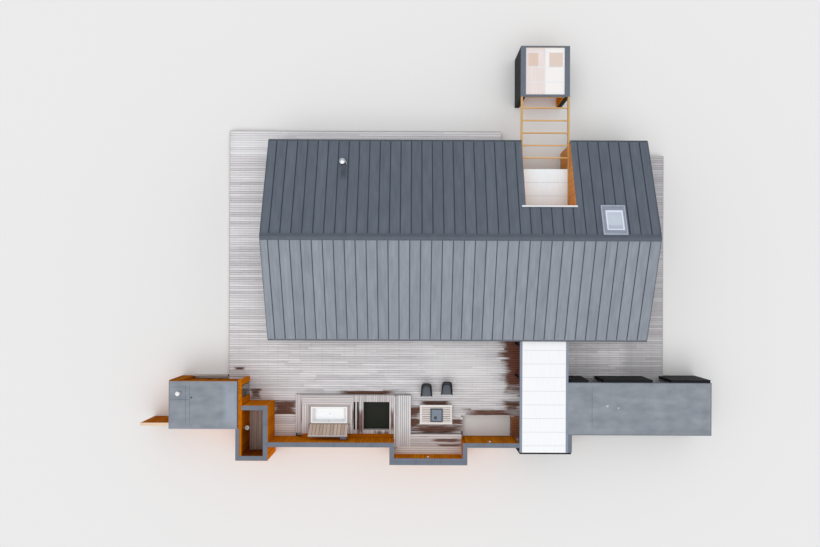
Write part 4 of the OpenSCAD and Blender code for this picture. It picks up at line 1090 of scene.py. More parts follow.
def clad(*faces: tuple, **rest: object) -> list[Plank]:
    """Return the boards of several wall faces in order.

    Args:
        faces: For each face its values in the order that WallFace has them.
        rest: Values that all the faces share, by name.

    Returns:
        The boards.
    """
    return [plank for face in faces for plank in WallFace(*face, **rest).planks()]


# The house


@dataclass
class House:
    """Outer walls with their boards, windows and doors."""

    joiner: Joiner
    window_w: float = 1.0
    sill: float = FLOOR + 1.24
    head: float = FLOOR + 2.04
    threshold: float = FLOOR - 0.1
    north_windows: tuple[float, ...] = (-7.7, -4.3, -0.9, 7.7)
    south_windows: tuple[float, ...] = (7.7,)
    terrace_doors: tuple[float, ...] = (-6.4, -1.3)
    end_windows: tuple[tuple[int, float], ...] = ((-1, 1.6), (1, 1.0))
    door: Pair = (3.95, 5.05)
    board_t: float = 0.02
    rake_from: float = 2.6
    frame_w: float = 0.06
    sash: float = 0.032

    def openings(self, side: int) -> tuple[Rect, ...]:
        """Return the openings of a long wall.

        Args:
            side: 1 for the north wall and -1 for the south wall.

        Returns:
            Low and high corner of each, along the wall and up.
        """
        half = self.window_w / 2
        small = self.north_windows if side > 0 else self.south_windows
        found = [(x - half, self.sill, x + half, self.head) for x in small]
        if side < 0:
            found += [(x - 1.5, self.threshold, x + 1.5, self.head) for x in self.terrace_doors]
            found.append((self.door[0], self.threshold, self.door[1], self.head))
        return tuple(found)

    def build(self) -> None:
        """Build the boards, sashes and sills, and dress the walls."""
        self.walls()
        self.recess()
        self.fascias()
        self.joinery()
        CONCRETE.cover("foundation_slab")
        BLACK_PLAIN.cover("north_wall", "south_wall", "gable_walls")
        CEDAR_PLAIN.cover("recess_side_walls", "recess_back_wall")
        FRAME_METAL.cover("window_frames", "front_door")
        GLASS.cover("window_glass")

    def walls(self) -> None:
        """Board the four outer walls."""
        low, top, end = FLOOR + FOOT, ceiling_z(HOUSE_Y + self.board_t) - EASE, HOUSE_X + self.board_t
        north = clad((Axis.X, HOUSE_Y, 1, -end, NOTCH_X0, low, top, self.openings(1)),
                     (Axis.X, HOUSE_Y, 1, NOTCH_X1, end, low, top, self.openings(1)), thick=self.board_t)
        self.joiner.fix("north_wall_boards", north, BLACK_BOARDS)
        south = clad((Axis.X, -HOUSE_Y, -1, -end, end, low, top, self.openings(-1)), thick=self.board_t)
        self.joiner.fix("south_wall_boards", south, BLACK_BOARDS)
        for name, (side, half) in zip(("west_gable_boards", "east_gable_boards"), self.end_windows):
            hole = (-half, self.threshold, half, self.head)
            boards = clad((Axis.Y, side * HOUSE_X, side, -HOUSE_Y, HOUSE_Y, low, self.rake_from, (hole,)),
                          thick=self.board_t, raked=True)
            self.joiner.fix(name, boards, BLACK_BOARDS, rake=lambda y: ceiling_z(y) - EASE)

    def recess(self) -> None:
        """Board the three sides of the entry notch, each board up to the slope."""
        low, start, end = 0.2, NOTCH_Y + self.board_t, HOUSE_Y + 0.019
        door = (self.door[0], low - EASE, self.door[1], self.head)
        boards = clad((Axis.Y, NOTCH_X0, 1, start, end, low, self.rake_from),
                      (Axis.Y, NOTCH_X1, -1, start, end, low, self.rake_from),
                      (Axis.X, NOTCH_Y, 1, NOTCH_X0, NOTCH_X1, low, self.rake_from, (door,)),
                      thick=self.board_t, raked=True)
        self.joiner.fix("entry_recess_boards", boards, CEDAR_LIGHT, rake=lambda y: roof_z(y) - 0.03)

    def fascias(self) -> None:
        """Fix a black board under each gutter, over the edge of the roof panels."""
        rise = (ceiling_z(EAVE_Y), EAVE_Z - 0.092)
        boards = [
            along(Axis.X, (x0, x1), between(side * EAVE_Y, side * (EAVE_Y + BOARD_T)), rise)
            for x0, x1, side in ((-VERGE_X, VERGE_X, -1), (-VERGE_X, NOTCH_X0, 1), (NOTCH_X1, VERGE_X, 1))
        ]
        self.joiner.fix("eaves_fascia_boards", boards, BLACK_BOARDS)

    def joinery(self) -> None:
        """Fit a slim sash into every pane, a sill under each small window, and boards on the door."""
        sashes: list[Plank] = []
        sills: list[Plank] = []
        for side in (1, -1):
            deep = between(side * (HOUSE_Y - 0.055), side * (HOUSE_Y + 0.05))
            for x0, z0, x1, z1 in self.openings(side):
                sashes += self.sash_row(Axis.X, side, HOUSE_Y, (x0, x1), (max(z0, FLOOR), z1))
                if z0 > FLOOR:
                    sills.append(along(Axis.X, (x0 - 0.03, x1 + 0.03), deep, (z0 - 0.028, z0 - EASE)))
        for side, half in self.end_windows:
            sashes += self.sash_row(Axis.Y, side, HOUSE_X, (-half, half), (FLOOR, self.head))
        self.joiner.fix("window_sashes", sashes, FRAME_METAL)
        self.joiner.fix("window_sills", sills, ZINC_TRIM)
        leaf = level(FLOOR + 0.02, self.head - 0.02, *(
            (x, NOTCH_Y - 0.045, x + 0.127, NOTCH_Y - 0.029)
            for x in (self.door[0] + 0.02 + i * 0.133 for i in range(8))))
        self.joiner.fix("front_door_boards", leaf, CEDAR)

    def sash_row(self, axis: Axis, side: int, wall: float, reach: Pair, rise: Pair) -> list[Plank]:
        """Return the sash bars of every pane in one opening.

        Args:
            axis: Direction of the wall.
            side: Side that faces outdoors.
            wall: Distance of the wall's outer face from the middle of the house.
            reach: Start and end of the opening along the wall.
            rise: Foot and head of the opening.

        Returns:
            Four bars to a pane.
        """
        start, end = reach
        panes = max(1, round(end - start))
        bay = (end - start - self.frame_w) / panes
        glass = side * (wall - self.frame_w)
        deep = between(glass - side * 0.028, glass + side * 0.006)
        low, high = rise[0] + self.frame_w, rise[1] - self.frame_w
        out: list[Plank] = []
        for i in range(panes):
            a, b = start + self.frame_w + i * bay, start + (i + 1) * bay
            bars = (((a, a + self.sash), (low, high)), ((b - self.sash, b), (low, high)),
                    ((a, b), (low, low + self.sash)), ((a, b), (high - self.sash, high)))
            out += [along(axis, run, deep, up) for run, up in bars]
        return out


@dataclass
class Roof:
    """Seamed covering with its beads, edges, skylight and flue."""

    joiner: Joiner
    trays: int = 37
    bead_w: float = 0.022
    straps: int = 33
    strap_pitch: float = 0.6
    skylight: Pair = (7.5, 0.86)
    skylight_half: Pair = (0.59, 0.82)
    skylight_pane: Rect = (-0.4, -0.58, 0.45, 0.52)
    skylight_foot: float = 1.79
    kerb: float = 0.11
    flue: Pair = (-5.81, 3.82)
    plate: float = 0.47

    def build(self) -> None:
        """Dress the covering and add its beads, straps, skylight sash and flue."""
        ZINC_NORTH.cover("roof_sheet_north")
        ZINC_SOUTH.cover("roof_sheet_south")
        ZINC_TRIM.cover("ridge_cap", "verge_trims", "gutters")
        LINING.cover("roof_panels")
        PALE_TRIM.cover("notch_flashing")
        SKY_KERB.cover("skylight_frame")
        SKY_GLASS.cover("skylight_glass")
        self.beads()
        self.gutter_straps()
        self.skylight_parts()
        self.flue_parts()

    def on_slope(self, side: int) -> Matrix:
        """Return the place of a set drawn flat, with Y down the slope from the ridge."""
        tilt = Matrix.Rotation(-side * PITCH, 4, "X")
        return Matrix.Translation((0, 0, roof_z(0))) @ tilt @ Matrix.Scale(side, 4, (0, 1, 0))

    def beads(self) -> None:
        """Press two shallow beads into every tray between the seams."""
        half = self.bead_w / 2
        for name, side, zinc in (("north_tray_beads", 1, ZINC_NORTH), ("south_tray_beads", -1, ZINC_SOUTH)):
            plans: list[Rect] = []
            for i, part in ((i, part) for i in range(-1, self.trays) for part in (1 / 3, 2 / 3)):
                x = -VERGE_X + zinc.first + i * zinc.pitch + part * zinc.pitch
                start, end = 0.02, EAVE_Y / RUN - 0.02
                if side > 0 and NOTCH_X0 - 0.01 < x < NOTCH_X1 + 0.01:
                    end = NOTCH_Y / RUN - 0.11
                elif side > 0 and abs(x - self.skylight[0]) < self.skylight_half[0] + 0.02:
                    start = self.skylight_foot
                if abs(x) <= VERGE_X - 0.03:
                    plans.append((x - half, start, x + half, end))
            piece = self.joiner.fix(name, level(-0.006, 0.004, *plans), zinc, placed=self.on_slope(side))
            if side < 0:
                outward(piece)

    def gutter_straps(self) -> None:
        """Hang the gutters on straps."""
        near, far, rise = EAVE_Y - EASE, EAVE_Y + 0.086, (EAVE_Z - 0.018, EAVE_Z - 0.008)
        straps = [
            along(Axis.X, (x - 0.012, x + 0.012), between(side * near, side * far), rise)
            for side in (1, -1) for x in (-HOUSE_X + i * self.strap_pitch for i in range(self.straps))
            if side < 0 or not NOTCH_X0 - 0.05 < x < NOTCH_X1 + 0.05
        ]
        self.joiner.fix("gutter_straps", straps, ZINC_TRIM)

    def skylight_parts(self) -> None:
        """Set the sash plates, the bead, the blind rails and the flashing of the skylight."""
        x, y = self.skylight
        place = Matrix.Translation((x, y, roof_z(y))) @ Matrix.Rotation(-PITCH, 4, "X")
        half_w, half_l = self.skylight_half
        edge_x, edge_y = half_w - 0.045, half_l - 0.045
        x0, y0, x1, y1 = self.skylight_pane
        low, high = self.kerb - 0.01, self.kerb + EASE
        west, east = x0 + 0.07, x1 - 0.08
        plates = level(low, high, (-edge_x, -edge_y, -edge_x + 0.05, edge_y),
                       (-edge_x + 0.06, -edge_y, x0, edge_y), (x1, -edge_y, edge_x, edge_y),
                       (x0, y1, x1, edge_y - 0.1), (x0, edge_y - 0.09, x1, edge_y), (x0, -edge_y, x1, y0))
        bead = level(low, high + 0.014, (x0, y0, west, y1), (east, y0, x1, y1),
                     (west, y1 - 0.1, east, y1), (west, y0, east, y0 + 0.06))
        rails = level(low, high, *((west, y0 + a, east, y0 + a + 0.045) for a in (0.1, 0.2)))
        apron = level(0.0, 0.007, (-half_w - 0.13, half_l, half_w + 0.13, half_l + 0.12),
                      (-half_w - 0.09, -half_l, -half_w, half_l), (half_w, -half_l, half_w + 0.09, half_l))
        for name, planks, finish in (
                ("skylight_sash", plates, SKY_SASH), ("skylight_bead", bead, SKY_BEAD),
                ("skylight_blind_rails", rails, SKY_KERB), ("skylight_apron", apron, ZINC_NORTH)):
            self.joiner.fix(name, planks, finish, placed=place)

    def flue_parts(self) -> None:
        """Replace the flue with a turned pipe, collar and cap on its plate."""
        x, y = self.flue
        foot, half = roof_z(y), self.plate / 2
        plate = block("flue_plate", (x - half, y - half, foot - 0.003), (x + half, y + half, foot + 0.006))
        turn(plate, -PITCH, "X", (x, y, foot))
        pipe = turned("flue_pipe", (x, y, foot), (
            (0.17, -0.06), (0.17, 0.05), (0.13, 0.09), (0.104, 0.13), (0.104, 0.32), (0.108, 0.325),
            (0.108, 0.345), (0.104, 0.35), (0.104, 0.74), (0.1, 0.76), (0.088, 0.76), (0.088, 0.5)))
        cap = turned("flue_cap", (x, y, foot + 0.81), (
            (0.135, 0.0), (0.14, 0.0), (0.14, 0.006), (0.09, 0.024), (0.05, 0.036), (0.012, 0.04)))
        spots = [(x + 0.09 * math.cos(a), y + 0.09 * math.sin(a)) for a in (0, 2.094, 4.189)]
        low, high = foot + 0.7, foot + 0.825
        stays = [block("flue_stay", (a - 0.006, b - 0.006, low), (a + 0.006, b + 0.006, high), 0.002)
                 for a, b in spots]
        STEEL.dress(joined("flue_pipe", [pipe, *stays]))
        STEEL.dress(cap)
        ZINC_TRIM.dress(plate)
        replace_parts(pipe, "flue")


@dataclass
class Entry:
    """Clear canopy, pergola and gate shelter north of the notch."""

    joiner: Joiner
    beam_w: float = 0.09
    beam_z: Pair = (2.3, 2.5)
    rafter_y: float = 4.29
    rafter_step: float = 0.643
    rafter_h: float = 0.12
    rafter_w: float = 0.055
    hanger_t: float = 0.0045
    shelter: Rect = (3.25, 7.44, 5.75, 10.05)
    wall_t: float = 0.23
    ribs: tuple[float, ...] = (8.21, 8.988, 9.735)
    rib_w: float = 0.05
    rib_h: float = 0.12
    sheet_t: float = 0.016
    head_beams: Pair = (0.125, 0.06)
    ceiling: float = 2.26

    def build(self) -> None:
        """Build the pergola timbers and the shelter's boards and roof."""
        GREEN_OPAL.cover("entry_canopy_sheets")
        COPING_METAL.cover("entry_canopy_bars")
        self.pergola()
        self.shelter_boards()
        self.shelter_roof()

    def pergola(self) -> None:
        """Replace the beams and rafters with planed timbers and steel hangers."""
        foot, top = self.beam_z
        x0, x1, y1 = NOTCH_X0 + self.beam_w, NOTCH_X1 - self.beam_w, self.shelter[1]
        beams = level(foot, top, (NOTCH_X0, self.rafter_y - 0.09, x0, y1), (x1, NOTCH_Y, NOTCH_X1, y1))
        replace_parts(self.joiner.fix("pergola_side_beams", beams, LARCH_Y), "pergola_beams")
        rafters: list[Plank] = []
        hangers: list[Plank] = []
        for y in (self.rafter_y + i * self.rafter_step for i in range(5)):
            south, north = y - self.rafter_w / 2, y + self.rafter_w / 2
            rafters += level(top - self.rafter_h, top, (x0, south, x1, north))
            for a, b in ((x0, x0 + 0.06), (x1 - 0.06, x1)):
                hangers += level(top - self.rafter_h - 0.01, top - 0.03, (a, south - self.hanger_t, b, south),
                                 (a, north, b, north + self.hanger_t))
        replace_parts(self.joiner.fix("pergola_cross_rafters", rafters, LARCH_X), "pergola_rafters")
        Joiner(edge=0.001).fix("rafter_hangers", hangers, STEEL)

    def shelter_boards(self) -> None:
        """Board the shelter black outside and in cedar inside."""
        x0, y0, x1, y1 = self.shelter
        a, b, top = x0 + self.wall_t, x1 - self.wall_t, WALL_TOP - 0.003
        outside = clad((Axis.Y, x0, -1, y0, y1, FOOT, top), (Axis.Y, x1, 1, y0, y1, FOOT, top),
                       (Axis.X, y1, 1, x0, a, FOOT, top), (Axis.X, y1, 1, b, x1, FOOT, top))
        self.joiner.fix("shelter_outer_boards", outside, BLACK_BOARDS)
        inside = clad((Axis.Y, a, 1, y0, y1, FOOT, self.ceiling), (Axis.Y, b, -1, y0, y1, FOOT, self.ceiling))
        self.joiner.fix("shelter_inner_boards", inside, CEDAR)
        BLACK_PLAIN.cover("gate_shelter_walls")

    def shelter_roof(self) -> None:
        """Replace the shelter roof with sheets, ribs and end beams."""
        x0, y0, x1, y1 = self.shelter
        a, b = x0 + self.wall_t, y0 + self.head_beams[0]
        c, d = x1 - self.wall_t, y1 - self.head_beams[1]
        top, mid, rib = WALL_TOP - 0.02, (a + c) / 2, self.rib_w / 2
        under = top - self.sheet_t
        foot = under - self.rib_h
        bays = list(pairwise((b, *self.ribs, d)))
        sheets = level(under, top, *((u0 + EASE, v0 + EASE, u1 - EASE, v1 - EASE)
                                     for v0, v1 in bays for u0, u1 in ((a, mid), (mid, c))))
        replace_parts(self.joiner.fix("shelter_roof_sheets", sheets, SHELTER_SHEET), "gate_shelter_roof")
        timbers = [
            *level(foot, WALL_TOP, (a, y0, c, b), (a, d, c, y1)),
            *level(foot, under, (mid - rib, b, mid + rib, d), *((a, y - rib, c, y + rib) for y in self.ribs)),
        ]
        self.joiner.fix("shelter_roof_ribs", timbers, LARCH_X)
        caps = [
            *level(top, top + 0.006, (mid - 0.02, b, mid + 0.02, d)),
            *level(top, top + 0.005, *((a, y - 0.016, c, y + 0.016) for y in self.ribs)),
            *level(top, top + 0.006, *((x, b, x + 0.03, d) for x in (a, c - 0.03))),
        ]
        thin = Joiner(edge=0.001)
        thin.fix("shelter_roof_caps", caps, PALE_TRIM)
        lines = [x for x in (a + 0.11 + i * 0.117 for i in range(16)) if abs(x - mid) > 0.05]
        beads = level(top, top + EASE, *((x, v0 + 0.02, x + 0.012, v1 - 0.02)
                                         for v0, v1 in bays for x in lines))
        thin.fix("shelter_sheet_beads", beads, SHELTER_SHEET)


@dataclass
class CoveredWay:
    """Clear canopy on its frame and posts, from the house to the store."""

    joiner: Joiner
    wall_t: float = 0.125
    post_reach: float = 0.15

    def build(self) -> None:
        """Dress the canopy and its black end wall."""
        OPAL.cover("garden_canopy_sheets")
        CANOPY_TRIM.cover("garden_canopy_frame")
        BLACK_PLAIN.cover("garden_canopy_posts", "covered_way_end")
        end = clad((Axis.X, WALK_Y - self.wall_t / 2, -1, NOTCH_X0, NOTCH_X1 + self.post_reach, FOOT, BRIM))
        self.joiner.fix("covered_way_end_boards", end, BLACK_BOARDS)


@dataclass
class Store:
    """Long store with its doorways, felt roof and open rack."""

    joiner: Joiner
    wall_t: float = 0.125
    rim: float = 0.03
    doorways: tuple[Pair, ...] = ((6.795, 7.575), (10.105, 11.065))
    floor: Rect = (5.875, -8.965, 12.985, -7.275)
    joist_pitch: float = 0.6
    joist_w: float = 0.045

    def build(self) -> None:
        """Board the store and lay its floor and roof."""
        self.boards()
        self.roof_slab()
        self.floors()
        self.roof_edges()

    def boards(self) -> None:
        """Board the long walls and the east end, with the doorways left open to the roof."""
        west, east = NOTCH_X1 + self.wall_t, STORE_X1 - 0.02
        holes = tuple((a, 0.0, b, DATUM) for a, b in self.doorways)
        boards = clad((Axis.X, ANNEX_Y, 1, west, east, FOOT, BRIM, holes),
                      (Axis.Y, east, 1, STORE_Y, ANNEX_Y, FOOT, UNDER_FLAT),
                      (Axis.X, self.floor[1] - self.wall_t, -1, west, east - self.wall_t, FOOT, UNDER_FLAT))
        self.joiner.fix("store_boards", boards, BLACK_BOARDS)
        BLACK_PLAIN.cover("store_long_walls", "store_end_walls", "store_posts")

    def roof_slab(self) -> None:
        """Replace the roof with a felted slab."""
        slab = block("store_roof_slab", (NOTCH_X1 + 0.002, STORE_Y + 0.003, DATUM - FLAT_T),
                     (STORE_X1 - 0.003, self.floor[3] - 0.003, DATUM), 0.003)
        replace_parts(FELT.dress(slab), "store_roof")

    def floors(self) -> None:
        """Lay the floor boards on their joists."""
        x0, y0, x1, y1 = self.floor
        floor = Boarding((self.floor, *((a, y1, b, ANNEX_Y) for a, b in self.doorways)), Axis.X,
                         DECK - DECK_T, DECK)
        self.joiner.fix("store_floor_boards", floor.planks(), DECK_TIMBER)
        joists = Boarding(((x0 + 0.005, y0 + 0.005, x1 - 0.005, y1 - 0.005),), Axis.Y, DECK - 0.15,
                          DECK - 0.03, self.joist_pitch, self.joist_pitch - self.joist_w)
        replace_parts(self.joiner.fix("store_floor_joists", joists.planks(), JOIST_TIMBER), "store_floor")

    def roof_edges(self) -> None:
        """Lay the laps of the felt and fold the metal round its edge."""
        low, south, north, east = STORE_Y, STORE_Y + self.rim, self.floor[3] - self.rim, STORE_X1 - self.rim
        laps = level(BRIM, DATUM + EASE, *((x, south, x + 0.08, north) for x in (6.9 + i for i in range(7))))
        self.joiner.fix("store_felt_laps", laps, FELT)
        edge = level(DATUM - FLAT_T, DATUM + 0.012, (NOTCH_X1, low, east, south),
                     (NOTCH_X1, north, east, self.floor[3]), (east, low, STORE_X1, self.floor[3]))
        self.joiner.fix("store_roof_edges", edge, COPING_METAL)


@dataclass
class BathHouse:
    """Cedar bath house with its glass door, court, shower and fence."""

    joiner: Joiner
    door_y: Pair = (-8.171, -7.535)
    door_h: float = 2.0
    pier: float = 0.7
    vent_off: Pair = (0.57, 0.64)
    shower_off: float = 1.02
    shower_drop: float = 0.2
    fence_l: float = 1.5
    fence_t: float = 0.15
    fence_off: float = 0.3

    def build(self) -> None:
        """Board the bath house and court and set their fittings."""
        self.boards()
        self.roof()
        self.fittings()
        self.fence()
        CEDAR_PLAIN.cover("bath_house_long_walls", "bath_house_end_walls", "bath_house_lintel")
        # The fascia takes the darker cedar copy: painted shade
        CEDAR_SHADE.cover("bath_house_fascia")
        STEP_TIMBER.cover("bath_house_floor")
        GLASS.cover("bath_door_glass")
        FRAME_METAL.cover("bath_door_fittings", "bath_door_hinges")

    def boards(self) -> None:
        """Board the four sides round the door."""
        pier, east = BATH_X0 + self.pier, BATH_X1 - BATH_EAST_T
        # The north faces take the darker cedar copy: painted shade
        north = clad((Axis.X, BATH_Y1 - BATH_RECESS, 1, pier, east, FOOT, UNDER_FLAT),
                     (Axis.X, BATH_Y1, 1, BATH_X0, pier, FOOT, DATUM - FLAT_T - 0.005))
        self.joiner.fix("bath_house_north_boards", north, CEDAR_SHADE)
        door = (self.door_y[0] - 0.01, DECK - 0.4, self.door_y[1] + 0.07, DECK + self.door_h)
        boards = clad((Axis.X, BATH_Y1, 1, east, BATH_X1, FOOT, BRIM),
                      (Axis.Y, BATH_X0, -1, BATH_Y0, BATH_Y1, FOOT, UNDER_FLAT),
                      (Axis.X, BATH_Y0, -1, BATH_X0, BATH_X1, FOOT, UNDER_FLAT),
                      (Axis.Y, BATH_X1, 1, COURT_Y1 + 0.04, BATH_Y1 + BOARD_T, FOOT, BRIM, (door,)),
                      (Axis.Y, BATH_X1, 1, BATH_Y0, COURT_Y1 - 0.2, DECK + 0.01, BRIM))
        self.joiner.fix("bath_house_boards", boards, CEDAR)

    def roof(self) -> None:
        """Lay the felt with its laps, patch and edge strip."""
        FELT.cover("bath_house_roof")
        low, high, east = DATUM - 0.09, DATUM + 0.012, BATH_X1 - BATH_EAST_T
        laps = [
            *level(BRIM, DATUM + EASE, (BATH_X0 + 1.12, BATH_Y0 + 0.02, BATH_X0 + 1.2, BATH_Y1 - 0.1),
                   (BATH_X0 + 0.02, -8.17, east - 0.02, -8.09)),
            *level(DATUM - 0.003, DATUM + 0.006, (BATH_X0 + 0.12, -8.2, BATH_X0 + 0.95, -7.56)),
            *level(BRIM, DATUM + 0.005, (BATH_X0 + 0.002, BATH_Y1 - 0.1, east - 0.037, BATH_Y1 - 0.04)),
        ]
        self.joiner.fix("bath_house_felt_laps", laps, FELT)
        rim = level(low, high, (BATH_X0 - EASE, BATH_Y0 - EASE, BATH_X0 + 0.035, BATH_Y1 - 0.08),
                    (BATH_X0 + 0.035, BATH_Y0 - EASE, east, BATH_Y0 + 0.035))
        self.joiner.fix("bath_house_roof_rim", rim, CANOPY_TRIM)
        flashing = level(BRIM, high, (east - 0.035, BATH_Y0 + 0.04, east + 0.025, BATH_Y1 - 0.01))
        self.joiner.fix("bath_house_roof_flashing", flashing, FRAME_METAL)

    def fittings(self) -> None:
        """Turn the roof vent and the shower."""
        spot = (BATH_X0 + self.vent_off[0], BATH_Y1 - self.vent_off[1], DATUM)
        vent = turned("roof_vent_cap", spot, (
            (0.056, 0.0), (0.056, 0.425), (0.1, 0.425), (0.113, 0.43), (0.115, 0.44), (0.115, 0.452),
            (0.1, 0.48), (0.06, 0.497), (0.01, 0.5)))
        FELT.dress(turned("roof_vent_boot", spot, (
            (0.18, 0.0), (0.18, 0.008), (0.09, 0.02), (0.07, 0.07), (0.062, 0.075))))
        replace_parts(PLASTIC.dress(vent), "roof_vent")
        y, z = COURT_Y1 - SCREEN_T - self.shower_off, DATUM - self.shower_drop
        head = turned("shower_head", (BATH_X1 + 0.26, y, z - 0.028), (
            (0.105, 0.0), (0.118, 0.004), (0.12, 0.012), (0.116, 0.02), (0.03, 0.03), (0.018, 0.045)))
        arm = turned("shower_arm", (BATH_X1, y, z), (
            (0.03, 0.0), (0.03, 0.006), (0.012, 0.012), (0.012, 0.26)), 20)
        turn(arm, RIGHT_ANGLE, "Y", (BATH_X1, y, z))
        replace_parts(SHOWER_STEEL.dress(joined("shower_head", [head, arm])), "shower_fitting")

    def fence(self) -> None:
        """Replace the fence with upright boards under a cap."""
        x0, y1, top = BATH_X0 - self.fence_l, BATH_Y0 + self.fence_off, WALL_TOP - 0.03
        y0, inset, post = y1 - self.fence_t, 0.035, 0.05
        boards = [
            *clad((Axis.X, y1 - inset, 1, x0, BATH_X0, FOOT, top),
                  (Axis.X, y0 + inset, -1, x0, BATH_X0, FOOT, top), thick=0.022),
            *level(0.0, top, *((x, y0 + inset, x + post, y1 - inset)
                               for x in (x0, x0 + 0.72, BATH_X0 - post))),
        ]
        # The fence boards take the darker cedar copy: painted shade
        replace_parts(self.joiner.fix("fence_boards", boards, CEDAR_SHADE), "fence_panel")
        self.joiner.fix("fence_cap", level(top, WALL_TOP, (x0, y0, BATH_X0, y1)), CREAM_CAP)


@dataclass
class WindScreen:
    """Cedar screens of the terrace and the shower court with their copings and lights."""

    joiner: Joiner
    niche_wall: float = 0.255
    seam_w: float = 0.024
    lamp_drop: float = 0.34

    def boards(self, z0: float, *faces: tuple[Axis, float, int, float, float]) -> list[Plank]:
        """Return the boards of screen faces, from a foot up to under the coping."""
        return clad(*((*face, z0, WALL_TOP - 0.002) for face in faces))

    def build(self) -> None:
        """Board both sides of every screen, seam the copings and set the lights."""
        self.terrace_side()
        self.court_side()
        # The ledge takes the darker level cedar: painted shade on its lit top
        ledge = Plank((BATH_X1 - 0.1, COURT_Y0 + 0.24, WALL_TOP - EASE),
                      (BATH_X1 + 0.016, BATH_Y0 - 0.002, DATUM - 0.003))
        self.joiner.fix("court_wall_ledge", [ledge], CEDAR_LEVEL)
        CEDAR_PLAIN.cover("screen_walls", "screen_returns")
        COPING_METAL.cover("wall_copings")
        self.coping_seams()
        self.lights()

    def terrace_side(self) -> None:
        """Board the screen along the terrace, round its niche and on the garden side."""
        x0, x1, y0 = NICHE_X0 - SCREEN_T, NICHE_X1 + SCREEN_T, NICHE_Y - self.niche_wall
        inner = self.boards(
            DECK + 0.01, (Axis.X, SCREEN_Y, 1, x1, NOTCH_X0), (Axis.X, SCREEN_Y, 1, COURT_X1, NICHE_X0),
            (Axis.X, NICHE_Y, 1, NICHE_X0, NICHE_X1), (Axis.Y, NICHE_X0, 1, NICHE_Y, SCREEN_Y),
            (Axis.Y, NICHE_X1, -1, NICHE_Y, SCREEN_Y), (Axis.Y, x1, 1, SCREEN_Y, SCREEN_Y + 0.01))
        self.joiner.fix("terrace_screen_boards", inner, CEDAR)
        back = SCREEN_Y - SCREEN_T
        outer = self.boards(
            FOOT, (Axis.X, back, -1, x1, NOTCH_X0), (Axis.X, back, -1, COURT_X1, x0),
            (Axis.X, y0, -1, x0, x1), (Axis.Y, x0, -1, y0, back), (Axis.Y, x1, 1, y0, back))
        self.joiner.fix("garden_screen_boards", outer, CEDAR)

    def court_side(self) -> None:
        """Board the shower court outside and inside."""
        west, t = BATH_X1 - COURT_WEST_T, SCREEN_T
        outside = [
            *self.boards(DECK + 0.01, (Axis.X, COURT_Y1, 1, BATH_X1 + 0.02, COURT_X1)),
            *self.boards(FOOT, (Axis.Y, COURT_X1, 1, COURT_Y0, COURT_Y1),
                         (Axis.X, COURT_Y0, -1, west, COURT_X1), (Axis.Y, west, -1, COURT_Y0, BATH_Y0)),
        ]
        self.joiner.fix("court_screen_boards", outside, CEDAR)
        # The court's inner faces take the darker cedar copy: painted shade
        inside = self.boards(
            DECK + 0.01, (Axis.X, COURT_Y1 - t, -1, BATH_X1, COURT_X1 - t),
            (Axis.Y, COURT_X1 - t, -1, COURT_Y0 + t, COURT_Y1 - t),
            (Axis.X, COURT_Y0 + t, 1, BATH_X1, COURT_X1 - t), (Axis.Y, BATH_X1, 1, COURT_Y0 + t, BATH_Y0))
        self.joiner.fix("court_inner_boards", inside, CEDAR_SHADE)

    def coping_seams(self) -> None:
        """Fold a seam across the copings every two metres or so, and one along the niche."""
        half = self.seam_w / 2
        seams = level(
            DATUM - 0.002, DATUM + 0.006,
            *((x - half, SCREEN_Y - 0.195, x + half, SCREEN_Y + 0.045) for x in (-8.2, -6.3, -4.4, 1.4, 2.4)),
            (NICHE_X0 - 0.19, NICHE_Y - 0.135, NICHE_X1 + 0.19, NICHE_Y - 0.12),
            *((x - half, NICHE_Y - 0.3, x + half, NICHE_Y + 0.045) for x in (-2.1, -0.8)),
            *((COURT_X1 - 0.235, y - half, COURT_X1, y + half) for y in (-9.5, -10.5)))
        self.joiner.fix("coping_seams", seams, ZINC_TRIM)

    def lights(self) -> None:
        """Replace the wall lights with rounded lamps on a back plate."""
        z = DATUM - self.lamp_drop
        parts: list[Object] = []
        for x, y in ((NOTCH_X0 - 1.49, SCREEN_Y), (NICHE_X0 + 1.8, NICHE_Y)):
            parts.append(block("lamp", (x - 0.06, y + 0.012, z - 0.08), (x + 0.06, y + 0.09, z), 0.02, 3))
            parts.append(block("lamp_plate", (x - 0.05, y, z - 0.07), (x + 0.05, y + 0.03, z - 0.01), 0.003))
        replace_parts(PLASTIC.dress(joined("screen_lamps", parts)), "wall_lights")


